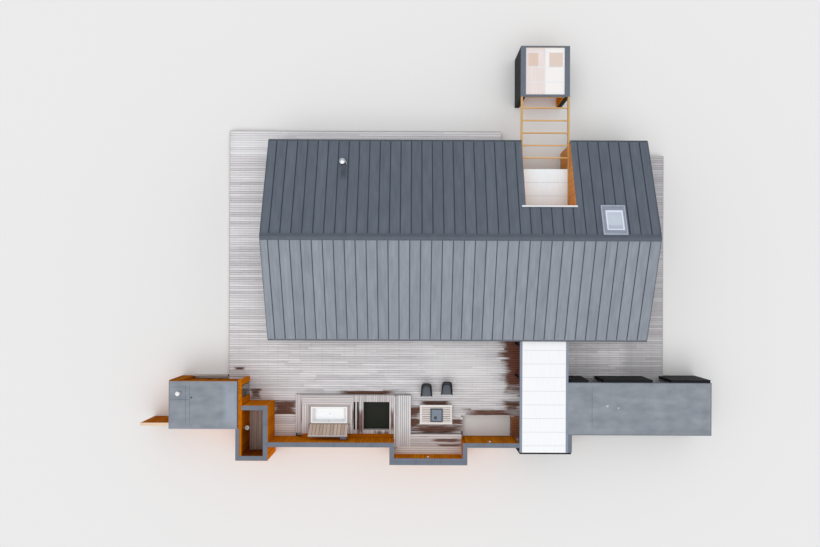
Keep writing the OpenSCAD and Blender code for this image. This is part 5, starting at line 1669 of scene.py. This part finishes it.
@dataclass
class Terrace:
    """Deck boards over all panels, with edge boards and the court floor."""

    joiner: Joiner
    porch: float = 0.79
    east_stop: float = 0.17
    edge_t: float = 0.024
    # West, east and north side of the opening in the deck beside the screen
    bed: Vec = (0.45, 3.05, -9.33)

    def build(self) -> None:
        """Lay the deck and its edges."""
        z0, z1, (bed_x0, bed_x1, bed_y1) = DECK - DECK_T, DECK, self.bed
        porch, stop = NOTCH_X0 - self.porch, HOUSE_Y - self.east_stop
        areas: tuple[Rect, ...] = (
            (DECK_X0, ANNEX_Y, -HOUSE_X, DECK_Y1), (-HOUSE_X, HOUSE_Y, porch, DECK_Y1),
            (HOUSE_X, ANNEX_Y, DECK_X1, stop), (-HOUSE_X, ANNEX_Y, HOUSE_X, -HOUSE_Y),
            (BATH_X1, COURT_Y1, STEP_X0, ANNEX_Y), (DECK_X0, BATH_Y1, BATH_X1, ANNEX_Y),
            (DECK_X0, BATH_Y1 - BATH_RECESS, BATH_X1 - BATH_EAST_T, BATH_Y1),
            (STEP_X0, PLATFORM_Y, NOTCH_X1, ANNEX_Y), (COURT_X1, SCREEN_Y, STEP_X0, COURT_Y1),
            (BENCH_X1, BENCH_Y1, NICHE_X1, PLATFORM_Y), (NICHE_X1, bed_y1, NOTCH_X0, PLATFORM_Y),
            (NICHE_X1, SCREEN_Y, bed_x0, bed_y1), (bed_x1, SCREEN_Y, NOTCH_X0, bed_y1),
            (NOTCH_X0, WALK_Y, NOTCH_X1, PLATFORM_Y),
        )
        deck = self.joiner.fix("terrace_deck_boards", Boarding(areas, Axis.X, z0, z1).planks(), DECK_TIMBER)
        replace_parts(deck, "deck_boards")
        inside = (BATH_X1, COURT_Y0 + SCREEN_T, COURT_X1 - SCREEN_T, COURT_Y1 - SCREEN_T)
        court = Boarding((inside,), Axis.Y, z0, z1, start=BATH_X1)
        self.joiner.fix("court_floor_boards", court.planks(), COURT_TIMBER)
        JOIST_TIMBER.cover("deck_frame")
        edges = level(0.2, DECK, (DECK_X1, ANNEX_Y, DECK_X1 + self.edge_t, stop),
                      (DECK_X0 - self.edge_t, ANNEX_Y, DECK_X0, DECK_Y1),
                      (DECK_X0, DECK_Y1, porch, DECK_Y1 + self.edge_t))
        self.joiner.fix("deck_edge_boards", edges, PLATFORM_TIMBER_X)


@dataclass
class SpaPlatform:
    """Raised platform with its step, planter, trough, tub and leaning cover."""

    joiner: Joiner
    surround: float = 0.1
    joint: float = 0.003
    skirt_t: float = 0.024
    step_z: Pair = (0.547, 0.575)
    tub: Rect = (-7.72, -9.68, -5.76, -8.80)
    planter: Rect = (-4.91, -10.045, -3.51, -8.545)
    trough: Rect = (-5.44, -10.045, -5.155, -8.545)
    cover_at: Vec = (-7.78, -9.74, 0.866)
    cover_size: Pair = (2.08, 1.0)
    cover_lean: float = math.radians(120)
    slats: int = 11

    def build(self) -> None:
        """Build the platform, tub and cover."""
        self.top()
        self.skirts()
        self.tub_shell()
        self.cover()
        FRAME_METAL.cover("spa_cover_hinges")

    def top(self) -> None:
        """Lay the top boards, east to west in the north strip and north to south elsewhere."""
        z0, z1, joint = SEAT - DECK_T, SEAT, self.joint
        (tx0, ty0, tx1, ty1), ring = self.tub, self.surround
        a0, b0, a1, b1 = tx0 - ring, ty0 - ring, tx1 + ring, ty1 + ring
        (rx0, ry0, rx1, ry1), (px0, py0, px1, py1) = self.trough, self.planter
        north = Boarding(((PLATFORM_X0, b1, rx0, PLATFORM_Y),), Axis.X, z0, z1, pitch=0.1275,
                         start=PLATFORM_Y)
        piece = self.joiner.fix("platform_boards_east_west", north.planks(), PLATFORM_TIMBER_X)
        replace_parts(piece, "spa_platform")
        rest: tuple[Rect, ...] = (
            (PLATFORM_X0, PLATFORM_Y0, a0, b1), (a0, PLATFORM_Y0, a1, b0), (a1, PLATFORM_Y0, rx0, b1),
            (rx0, PLATFORM_Y0, rx1, py0), (rx0, py1, rx1, PLATFORM_Y), (rx1, PLATFORM_Y0, px0, PLATFORM_Y),
            (px0, PLATFORM_Y0, px1, py0), (px0, py1, px1, PLATFORM_Y),
            (px1, PLATFORM_Y0, NICHE_X0, PLATFORM_Y),
        )
        south = Boarding(rest, Axis.Y, z0, z1, pitch=0.1233, start=PLATFORM_X0)
        strip = level(z0, z1 - 0.002, (rx0 + 0.095, ry0 - 0.001, rx0 + 0.2, ry1 + 0.001))
        self.joiner.fix("platform_boards_north_south", [*south.planks(), *strip], PLATFORM_TIMBER_Y)
        sides = level(z0, z1, (a0 + joint, b0 + joint, a1 - joint, ty0 - 0.002),
                      (a0 + joint, ty1 + 0.002, a1 - joint, b1 - joint))
        self.joiner.fix("tub_surround_boards", sides, SURROUND_X)
        ends = level(z0, z1, (a0 + joint, ty0, tx0 - 0.002, ty1), (tx1 + 0.002, ty0, a1 - joint, ty1))
        self.joiner.fix("tub_surround_ends", ends, SURROUND_Y)
        # The closing boards take the darker level cedar: painted shade in the gap under the platform's edge
        closing = level(z0 - 0.06, z0 - 0.03, *(
            (x + 0.002, SCREEN_Y + 0.02, x + 1.643, PLATFORM_Y0 - 0.002)
            for x in (PLATFORM_X0 + i * 1.645 for i in range(3))))
        self.joiner.fix("platform_closing_boards", closing, CEDAR_LEVEL)
        step = Boarding(((STEP_X0, PLATFORM_Y0, PLATFORM_X0, PLATFORM_Y),), Axis.Y, *self.step_z,
                        pitch=0.1267, start=STEP_X0)
        self.joiner.fix("platform_step_boards", step.planks(), PLATFORM_TIMBER_Y)

    def skirts(self) -> None:
        """Close the sides of the platform, its step, its planter and its trough."""
        t, foot, back = self.skirt_t, DECK + EASE, PLATFORM_Y - self.skirt_t
        plans: list[Rect] = [
            (PLATFORM_X0, back, NICHE_X0, PLATFORM_Y), (PLATFORM_X0, PLATFORM_Y0, PLATFORM_X0 + t, back),
            (PLATFORM_X0 + t, PLATFORM_Y0, NICHE_X0, PLATFORM_Y0 + t),
        ]
        for x0, y0, x1, y1 in (self.planter, self.trough):
            plans += [(x0 - t, y0 - t, x0, y1 + t), (x1, y0 - t, x1 + t, y1 + t), (x0, y0 - t, x1, y0),
                      (x0, y1, x1, y1 + t)]
        boards = [
            *stacked(foot, SEAT - DECK_T - 0.001, 3, *plans),
            *stacked(foot, self.step_z[0] - 0.001, 2, (STEP_X0, back, PLATFORM_X0, PLATFORM_Y),
                     (STEP_X0, PLATFORM_Y0, STEP_X0 + t, back)),
        ]
        self.joiner.fix("platform_skirt_boards", boards, PLATFORM_TIMBER_X)
        # Near-black mats at the foot of the planter and trough: the bed's dark in the planter, painted shade
        # in the trough
        mats = level(DECK - 0.02, foot, *((x0 - 0.01, y0 - 0.01, x1 + 0.01, y1 + 0.01)
                                          for x0, y0, x1, y1 in (self.planter, self.trough)))
        self.joiner.fix("planter_floor_mats", mats, DARK_BED_AND_SHADE)

    def tub_shell(self) -> None:
        """Shape the tub, a block whose top is inset, sunk and rounded, and turn its drains."""
        x0, y0, x1, y1 = self.tub
        x, y = (x0 + x1) / 2, (y0 + y1) / 2
        tub = block("tub_shell", (x0, y0, SEAT - 0.56), (x1, y1, SEAT + 0.06), 0.0)
        with editing(tub):
            choose(tub, lambda middle, normal: normal.z > 0.9)
            bpy.ops.mesh.inset(thickness=0.075)
            for drop, shrink in ((0.05, 0.96), (0.4, 0.9)):
                bpy.ops.mesh.extrude_region_move(TRANSFORM_OT_translate={"value": (0, 0, -drop)})
                bpy.ops.transform.resize(value=(shrink, shrink, 1), center_override=(x, y, SEAT))
            bpy.ops.mesh.select_all(action="SELECT")
            bpy.ops.mesh.bevel(offset=0.022, segments=4, affect="EDGES")
        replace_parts(ACRYLIC.dress(smoothed(tub, 40)), "spa_tub")
        STEEL.dress(turned("tub_drain", (x, y, SEAT - 0.392), (
            (0.035, 0.0), (0.035, 0.006), (0.028, 0.009), (0.026, 0.006), (0.004, 0.006)), 24))
        spot = (x, y0 + 0.078, SEAT - 0.03)
        overflow = turned("tub_overflow", spot, (
            (0.036, 0.0), (0.036, 0.022), (0.03, 0.03), (0.012, 0.03), (0.01, 0.05), (0.004, 0.05)), 24)
        SHOWER_STEEL.dress(turn(overflow, -RIGHT_ANGLE, "X", spot))

    def cover(self) -> None:
        """Build the slatted cover with its battens, edge boards and grip."""
        (length, width), body = self.cover_size, Body.SPA_COVER
        place = Matrix.Translation(self.cover_at) @ Matrix.Rotation(self.cover_lean, 4, "X")
        step = length / self.slats
        slats = level(0.0, 0.028, *((i * step + 0.006, 0.0, (i + 1) * step - 0.006, width - 0.1)
                                    for i in range(self.slats)))
        piece = self.joiner.fix("cover_slats", slats, COVER_TIMBER, body=body, placed=place)
        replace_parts(piece, "spa_cover")
        rails = [
            *level(0.0, 0.05, (0.0, width - 0.096, length, width)),
            *level(0.029, 0.05, *((0.03, y, length - 0.03, y + 0.07) for y in (0.06, 0.45, 0.8))),
        ]
        self.joiner.fix("cover_rails", rails, BENCH_TIMBER_Y, body=body, placed=place)
        grip = block("cover_grip", (length - 0.36, width - 0.06, 0.05), (length - 0.06, width + 0.12, 0.11),
                     0.015, 3)
        grip.data.transform(place)
        CANOPY_TRIM.dress(grip, body)
        knuckles: list[Object] = []
        for x in (0.0, length - 0.06):
            rings = ((0.011, 0.0), (0.012, 0.001), (0.012, 0.059), (0.011, 0.06))
            pin = turn(turned("cover_knuckle", (0, 0, 0), rings, 24), RIGHT_ANGLE, "Y", (0, 0, 0))
            pin.data.transform(place @ Matrix.Translation((x, 0, 0)))
            knuckles.append(pin)
        STEEL.dress(joined("cover_knuckles", knuckles), body)


@dataclass
class SeatingNiche:
    """Corner bench with sloping backs, and the fire table."""

    joiner: Joiner
    front_t: float = 0.024
    front_in: float = 0.02
    front_h: float = 0.417
    back_h: float = 0.35
    rail_w: float = 0.07
    table: Rect = (-1.88, -9.74, -0.14, -8.70)
    table_h: float = 0.4
    table_edge: float = 0.13
    leg: float = 0.09
    fire_box: Pair = (0.66, 0.725)
    fire_off: Pair = (0.03, -0.03)

    def build(self) -> None:
        """Build the bench, its backs and the table."""
        self.bench()
        self.backs()
        self.fire_table()
        self.fire()

    def bench(self) -> None:
        """Lay both legs of the bench and close their fronts."""
        z0, z1 = SEAT - DECK_T, SEAT
        west = Boarding(((NICHE_X0, NICHE_Y, BENCH_X1, PLATFORM_Y),), Axis.Y, z0, z1, pitch=0.1131,
                        start=BENCH_X1, longest=5.0)
        piece = self.joiner.fix("bench_boards_north_south", west.planks(), BENCH_TIMBER_Y)
        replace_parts(piece, "terrace_bench")
        south = Boarding(((BENCH_X1, NICHE_Y, NICHE_X1, BENCH_Y1),), Axis.X, z0, z1, start=BENCH_Y1,
                         longest=5.0)
        self.joiner.fix("bench_boards_east_west", south.planks(), BENCH_TIMBER_X)
        t, foot = self.front_t, DECK + EASE
        x, y, front = BENCH_X1 - self.front_in, PLATFORM_Y - self.front_in, BENCH_Y1 - self.front_in
        fronts = stacked(foot, foot + self.front_h, 3, (x - t, front, x, y), (NICHE_X0, y - t, x - t, y),
                         (x, front - t, NICHE_X1, front))
        self.joiner.fix("bench_front_boards", fronts, BENCH_TIMBER_X)

    def backs(self) -> None:
        """Lay boards up both sloping backs, with a rail along the top."""
        corner = Matrix.Translation((NICHE_X0, NICHE_Y, SEAT))
        side = Matrix.Translation((NICHE_X0, PLATFORM_Y, SEAT)) @ Matrix.Rotation(-RIGHT_ANGLE, 4, "Z")
        high, rail, t = self.back_h, self.rail_w, 0.022
        for name, finish, depth, place, length in (
                ("south", BACK_TIMBER, 0.345, corner, NICHE_X1 - NICHE_X0),
                ("west", BENCH_TIMBER_Y, 0.215, side, PLATFORM_Y - NICHE_Y - 0.3453)):
            run = depth - rail
            step = math.hypot(run, high) / 3
            lean = (place @ Matrix.Translation((0, depth, 0))
                    @ Matrix.Rotation(math.pi - math.atan2(high, run), 4, "X")
                    @ Matrix.Scale(-1, 4, (0, 0, 1)))
            boards = level(0.0, t, *((0.0, i * step + 0.003, length, (i + 1) * step - 0.003)
                                     for i in range(3)))
            piece = outward(self.joiner.fix(f"bench_back_{name}", boards, finish, placed=lean))
            rails = [*level(high - 0.028, high, (0.0, 0.0, length, rail)),
                     *level(0.002, high - 0.028, (0.0, 0.0, length, t))]
            self.joiner.fix(f"bench_back_rail_{name}", rails, finish, placed=place)
            if name == "south":
                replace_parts(piece, "bench_backs")

    def fire_table(self) -> None:
        """Build the table's frame, slats, legs and tray."""
        x0, y0, x1, y1 = self.table
        edge, leg, top = self.table_edge, self.leg, DECK + self.table_h
        a0, b0, a1, b1, under = x0 + edge, y0 + edge, x1 - edge, y1 - edge, top - 0.045
        count = 8
        step = (y1 - y0 - 2 * edge) / count
        wood = [
            *level(under, top, (x0, y0, x1, b0), (x0, b1, x1, y1), (x0, b0, a0, b1), (a1, b0, x1, b1)),
            *level(top - 0.03, top - 0.003, *((a0, b0 + i * step + 0.011, a1, b0 + (i + 1) * step - 0.011)
                                              for i in range(count))),
        ]
        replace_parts(self.joiner.fix("fire_table_top", wood, TABLE_TIMBER), "fire_table")
        legs = level(DECK, under, *((a, b, a + leg, b + leg) for a in (x0, x1 - leg) for b in (y0, y1 - leg)))
        self.joiner.fix("fire_table_legs", legs, TABLE_TIMBER)
        # A near-black tray under the slats: painted shade seen between them
        tray = level(under - 0.012, under - 0.002, (x0 + leg, y0 + leg, x1 - leg, y1 - leg))
        self.joiner.fix("fire_table_tray", tray, DARK_BED_AND_SHADE)

    def fire(self) -> None:
        """Set the fire box into the table, with its tray and burner."""
        x0, y0, x1, y1 = self.table
        x, y, top = (x0 + x1) / 2 + self.fire_off[0], (y0 + y1) / 2 + self.fire_off[1], DECK + self.table_h
        half_w, half_l = (size / 2 for size in self.fire_box)
        box = block("fire_box", (x - half_w, y - half_l, top - 0.003), (x + half_w, y + half_l, top + 0.06),
                    0.0)
        with editing(box):
            choose(box, lambda middle, normal: normal.z > 0.9)
            bpy.ops.mesh.inset(thickness=0.05)
            bpy.ops.mesh.extrude_region_move(TRANSFORM_OT_translate={"value": (0, 0, -0.035)})
            bpy.ops.mesh.select_all(action="SELECT")
            bpy.ops.mesh.bevel(offset=0.004, segments=2, affect="EDGES")
        FIRE_RIM.dress(box)
        half_w, half_l = half_w - 0.06, half_l - 0.06
        tray = block("fire_tray", (x - half_w, y - half_l, top + 0.01), (x + half_w, y + half_l, top + 0.052),
                     0.006, 2)
        FIRE_STEEL.dress(tray)
        burner = turned("fire_burner", (x - 0.06, y - 0.13, top + 0.052), (
            (0.09, 0.0), (0.09, 0.012), (0.082, 0.018), (0.05, 0.018), (0.044, 0.01), (0.01, 0.01)), 32)
        FRAME_METAL.dress(burner)


@dataclass
class LoungeChairs:
    """Two shell chairs with seat pads on the deck, open to the south."""

    places: tuple[Pair, ...] = ((-1.53, -7.88), (-0.44, -7.785))
    width: float = 0.66
    depth: float = 0.76
    height: float = 0.72
    pan: float = 0.26
    seat: float = 0.4
    pad_w: float = 0.51
    leg_out: float = 0.2
    shell_t: float = 0.03

    def build(self) -> None:
        """Build each chair's shell, pad and legs."""
        for number, spot in enumerate(self.places, start=1):
            shell = CHAIR_SHELL.dress(self.shell(f"chair_shell_{number}", spot))
            if number == 1:
                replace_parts(shell, "lounge_chairs")
            CHAIR_PAD.dress(self.pad(f"chair_pad_{number}", spot))
            CHAIR_SHELL.dress(self.legs(f"chair_legs_{number}", spot))

    def shell(self, name: str, spot: Pair) -> Object:
        """Round a tapered block, open it at the top and front, slope its arms, and thicken the walls.

        Args:
            name: Name of the piece.
            spot: Middle of the chair.

        Returns:
            The closed shell.
        """
        x, y = spot
        front, back, foot = y - self.depth / 2, y + self.depth / 2, DECK + self.pan
        half = self.width / 2
        shell = block(name, (x - half, front, foot), (x + half, back, DECK + self.height), 0.0)
        with editing(shell):
            choose(shell, lambda middle, normal: normal.y > 0.9)
            bpy.ops.transform.resize(value=(0.8, 1, 1), center_override=(x, y, foot))
            choose(shell, lambda middle, run: middle.y > y and abs(run.z) > 0.9, edges=True)
            bpy.ops.mesh.bevel(offset=0.15, segments=8, affect="EDGES")
            choose(shell, lambda middle, normal: normal.z < -0.9)
            bpy.ops.transform.resize(value=(0.93, 0.9, 1), center_override=(x, front, foot))
            bpy.ops.mesh.bevel(offset=0.05, segments=4, affect="EDGES")
            choose(shell, lambda middle, normal: normal.z > 0.9 or normal.y < -0.9)
            bpy.ops.mesh.delete(type="FACE")
            bpy.ops.mesh.select_all(action="SELECT")
            bpy.ops.mesh.bisect(plane_co=(x, front, DECK + 0.5), plane_no=(0, -0.45, 1), clear_outer=True)
        pick(outward(shell))
        skin = shell.modifiers.new("thickness", "SOLIDIFY")
        skin.thickness, skin.offset = self.shell_t, -1
        bpy.ops.object.modifier_apply(modifier=skin.name)
        return smoothed(shell, 40)

    def pad(self, name: str, spot: Pair) -> Object:
        """Shape the seat pad, narrower at the back, with rounded edges.

        Args:
            name: Name of the piece.
            spot: Middle of the chair.

        Returns:
            The pad.
        """
        x, front, half = spot[0], spot[1] - self.depth / 2, self.pad_w / 2
        pad = block(name, (x - half, front + 0.02, DECK + 0.3), (x + half, front + 0.56, DECK + self.seat),
                    0.0)
        with editing(pad):
            choose(pad, lambda middle, normal: normal.y > 0.9)
            bpy.ops.transform.resize(value=(0.78, 1, 1), center_override=(x, front, DECK))
            choose(pad, lambda middle, run: middle.y > front + 0.4 and abs(run.z) > 0.9, edges=True)
            bpy.ops.mesh.bevel(offset=0.15, segments=8, affect="EDGES")
            choose(pad, lambda middle, normal: normal.z > 0.9)
            bpy.ops.mesh.bevel(offset=0.03, segments=4, affect="EDGES")
        return smoothed(pad, 50)

    def legs(self, name: str, spot: Pair) -> Object:
        """Turn four upright legs that widen towards the pan.

        Args:
            name: Name of the piece.
            spot: Middle of the chair.

        Returns:
            The legs as one piece.
        """
        x, y, out = *spot, self.leg_out
        feet = [(x + i * out, y + j * out - 0.04, DECK) for i, j in ((-1, -1), (1, -1), (-1, 1), (1, 1))]
        profile = ((0.011, 0.0), (0.013, 0.004), (0.016, 0.275), (0.016, 0.28))
        return joined(name, [turned("chair_leg", foot, profile, 20) for foot in feet])


@dataclass
class Studio:
    """Pale floor, soft light and the camera straight above."""

    ambient: float = 0.62
    seen: float = 0.9
    key: float = 1.25
    camera_at: Vec = (-2.38, -2.80, 43.3)
    lens: float = 34.8
    shift: Pair = (-0.0012, 0.0262)
    roll: float = 0.24

    def build(self) -> None:
        """Lay the floor, light the scene and set the camera."""
        self.floor()
        self.light()
        self.camera()

    def floor(self) -> None:
        """Lay a wide pale floor under the house."""
        bpy.ops.object.select_all(action="DESELECT")
        bpy.ops.mesh.primitive_plane_add(size=600, location=(0, 0, -0.004))
        floor = bpy.context.active_object
        floor.name = "studio_floor"
        bpy.ops.object.transform_apply(location=True, rotation=True, scale=True)
        pale = bpy.data.materials.new("studio_floor_paint")
        pale.use_nodes = True
        shader = pale.node_tree.nodes["Principled BSDF"]
        shader.inputs["Base Color"].default_value = linear("#ececeb")
        shader.inputs["Roughness"].default_value = 0.9
        shader.inputs["Specular IOR Level"].default_value = 0.1
        floor.data.materials.append(pale)

    def light(self) -> None:
        """Light from all sides, brighter where the sky itself is seen, with a broad lamp nearly overhead."""
        world = bpy.data.worlds.new("studio_world")
        bpy.context.scene.world = world
        world.use_nodes = True
        tree = world.node_tree
        path = add_node(tree, "LightPath").node.outputs
        seen = path["Is Camera Ray"]
        for kind in ("Is Transmission Ray", "Is Glossy Ray"):
            seen = add_node(tree, "Math", {0: seen, 1: path[kind]}, operation="MAXIMUM")
        strength = add_node(tree, "MapRange", {0: seen, 3: self.ambient, 4: self.seen})
        sky = tree.nodes["Background"]
        sky.inputs["Color"].default_value = linear("#fdfdff")
        tree.links.new(strength, sky.inputs["Strength"])
        lamp = bpy.data.lights.new("top_light", "SUN")
        lamp.energy = self.key
        lamp.angle = math.radians(60)
        holder = bpy.data.objects.new("top_light", lamp)
        holder.rotation_euler = (math.radians(14), 0, math.radians(-12))
        bpy.context.scene.collection.objects.link(holder)

    def camera(self) -> None:
        """Set the camera above the terrace, looking straight down."""
        lens = bpy.data.cameras.new("top_camera")
        lens.sensor_fit = "HORIZONTAL"
        lens.sensor_width = 36
        lens.lens = self.lens
        lens.shift_x, lens.shift_y = self.shift
        lens.clip_end = 1000
        camera = bpy.data.objects.new("top_camera", lens)
        camera.location = self.camera_at
        camera.rotation_euler = (0, 0, math.radians(self.roll))
        bpy.context.scene.collection.objects.link(camera)
        bpy.context.scene.camera = camera


def main() -> None:
    """Build every sub-assembly in order."""
    logging.basicConfig(level=logging.INFO, format="%(message)s")
    joiner = Joiner()
    for part in (Studio(), Terrace(joiner), House(joiner), Roof(joiner), Entry(joiner), CoveredWay(joiner),
                 Store(joiner), BathHouse(joiner), WindScreen(joiner), SpaPlatform(joiner),
                 SeatingNiche(joiner), LoungeChairs()):
        part.build()
        log.info("built %s", type(part).__name__)
    for leftover in [o for o in bpy.data.objects if o.name.startswith("pattern_board")]:
        bpy.data.objects.remove(leftover, do_unlink=True)
    bpy.context.scene.view_settings.view_transform = "Standard"


if __name__ == "__main__":
    main()
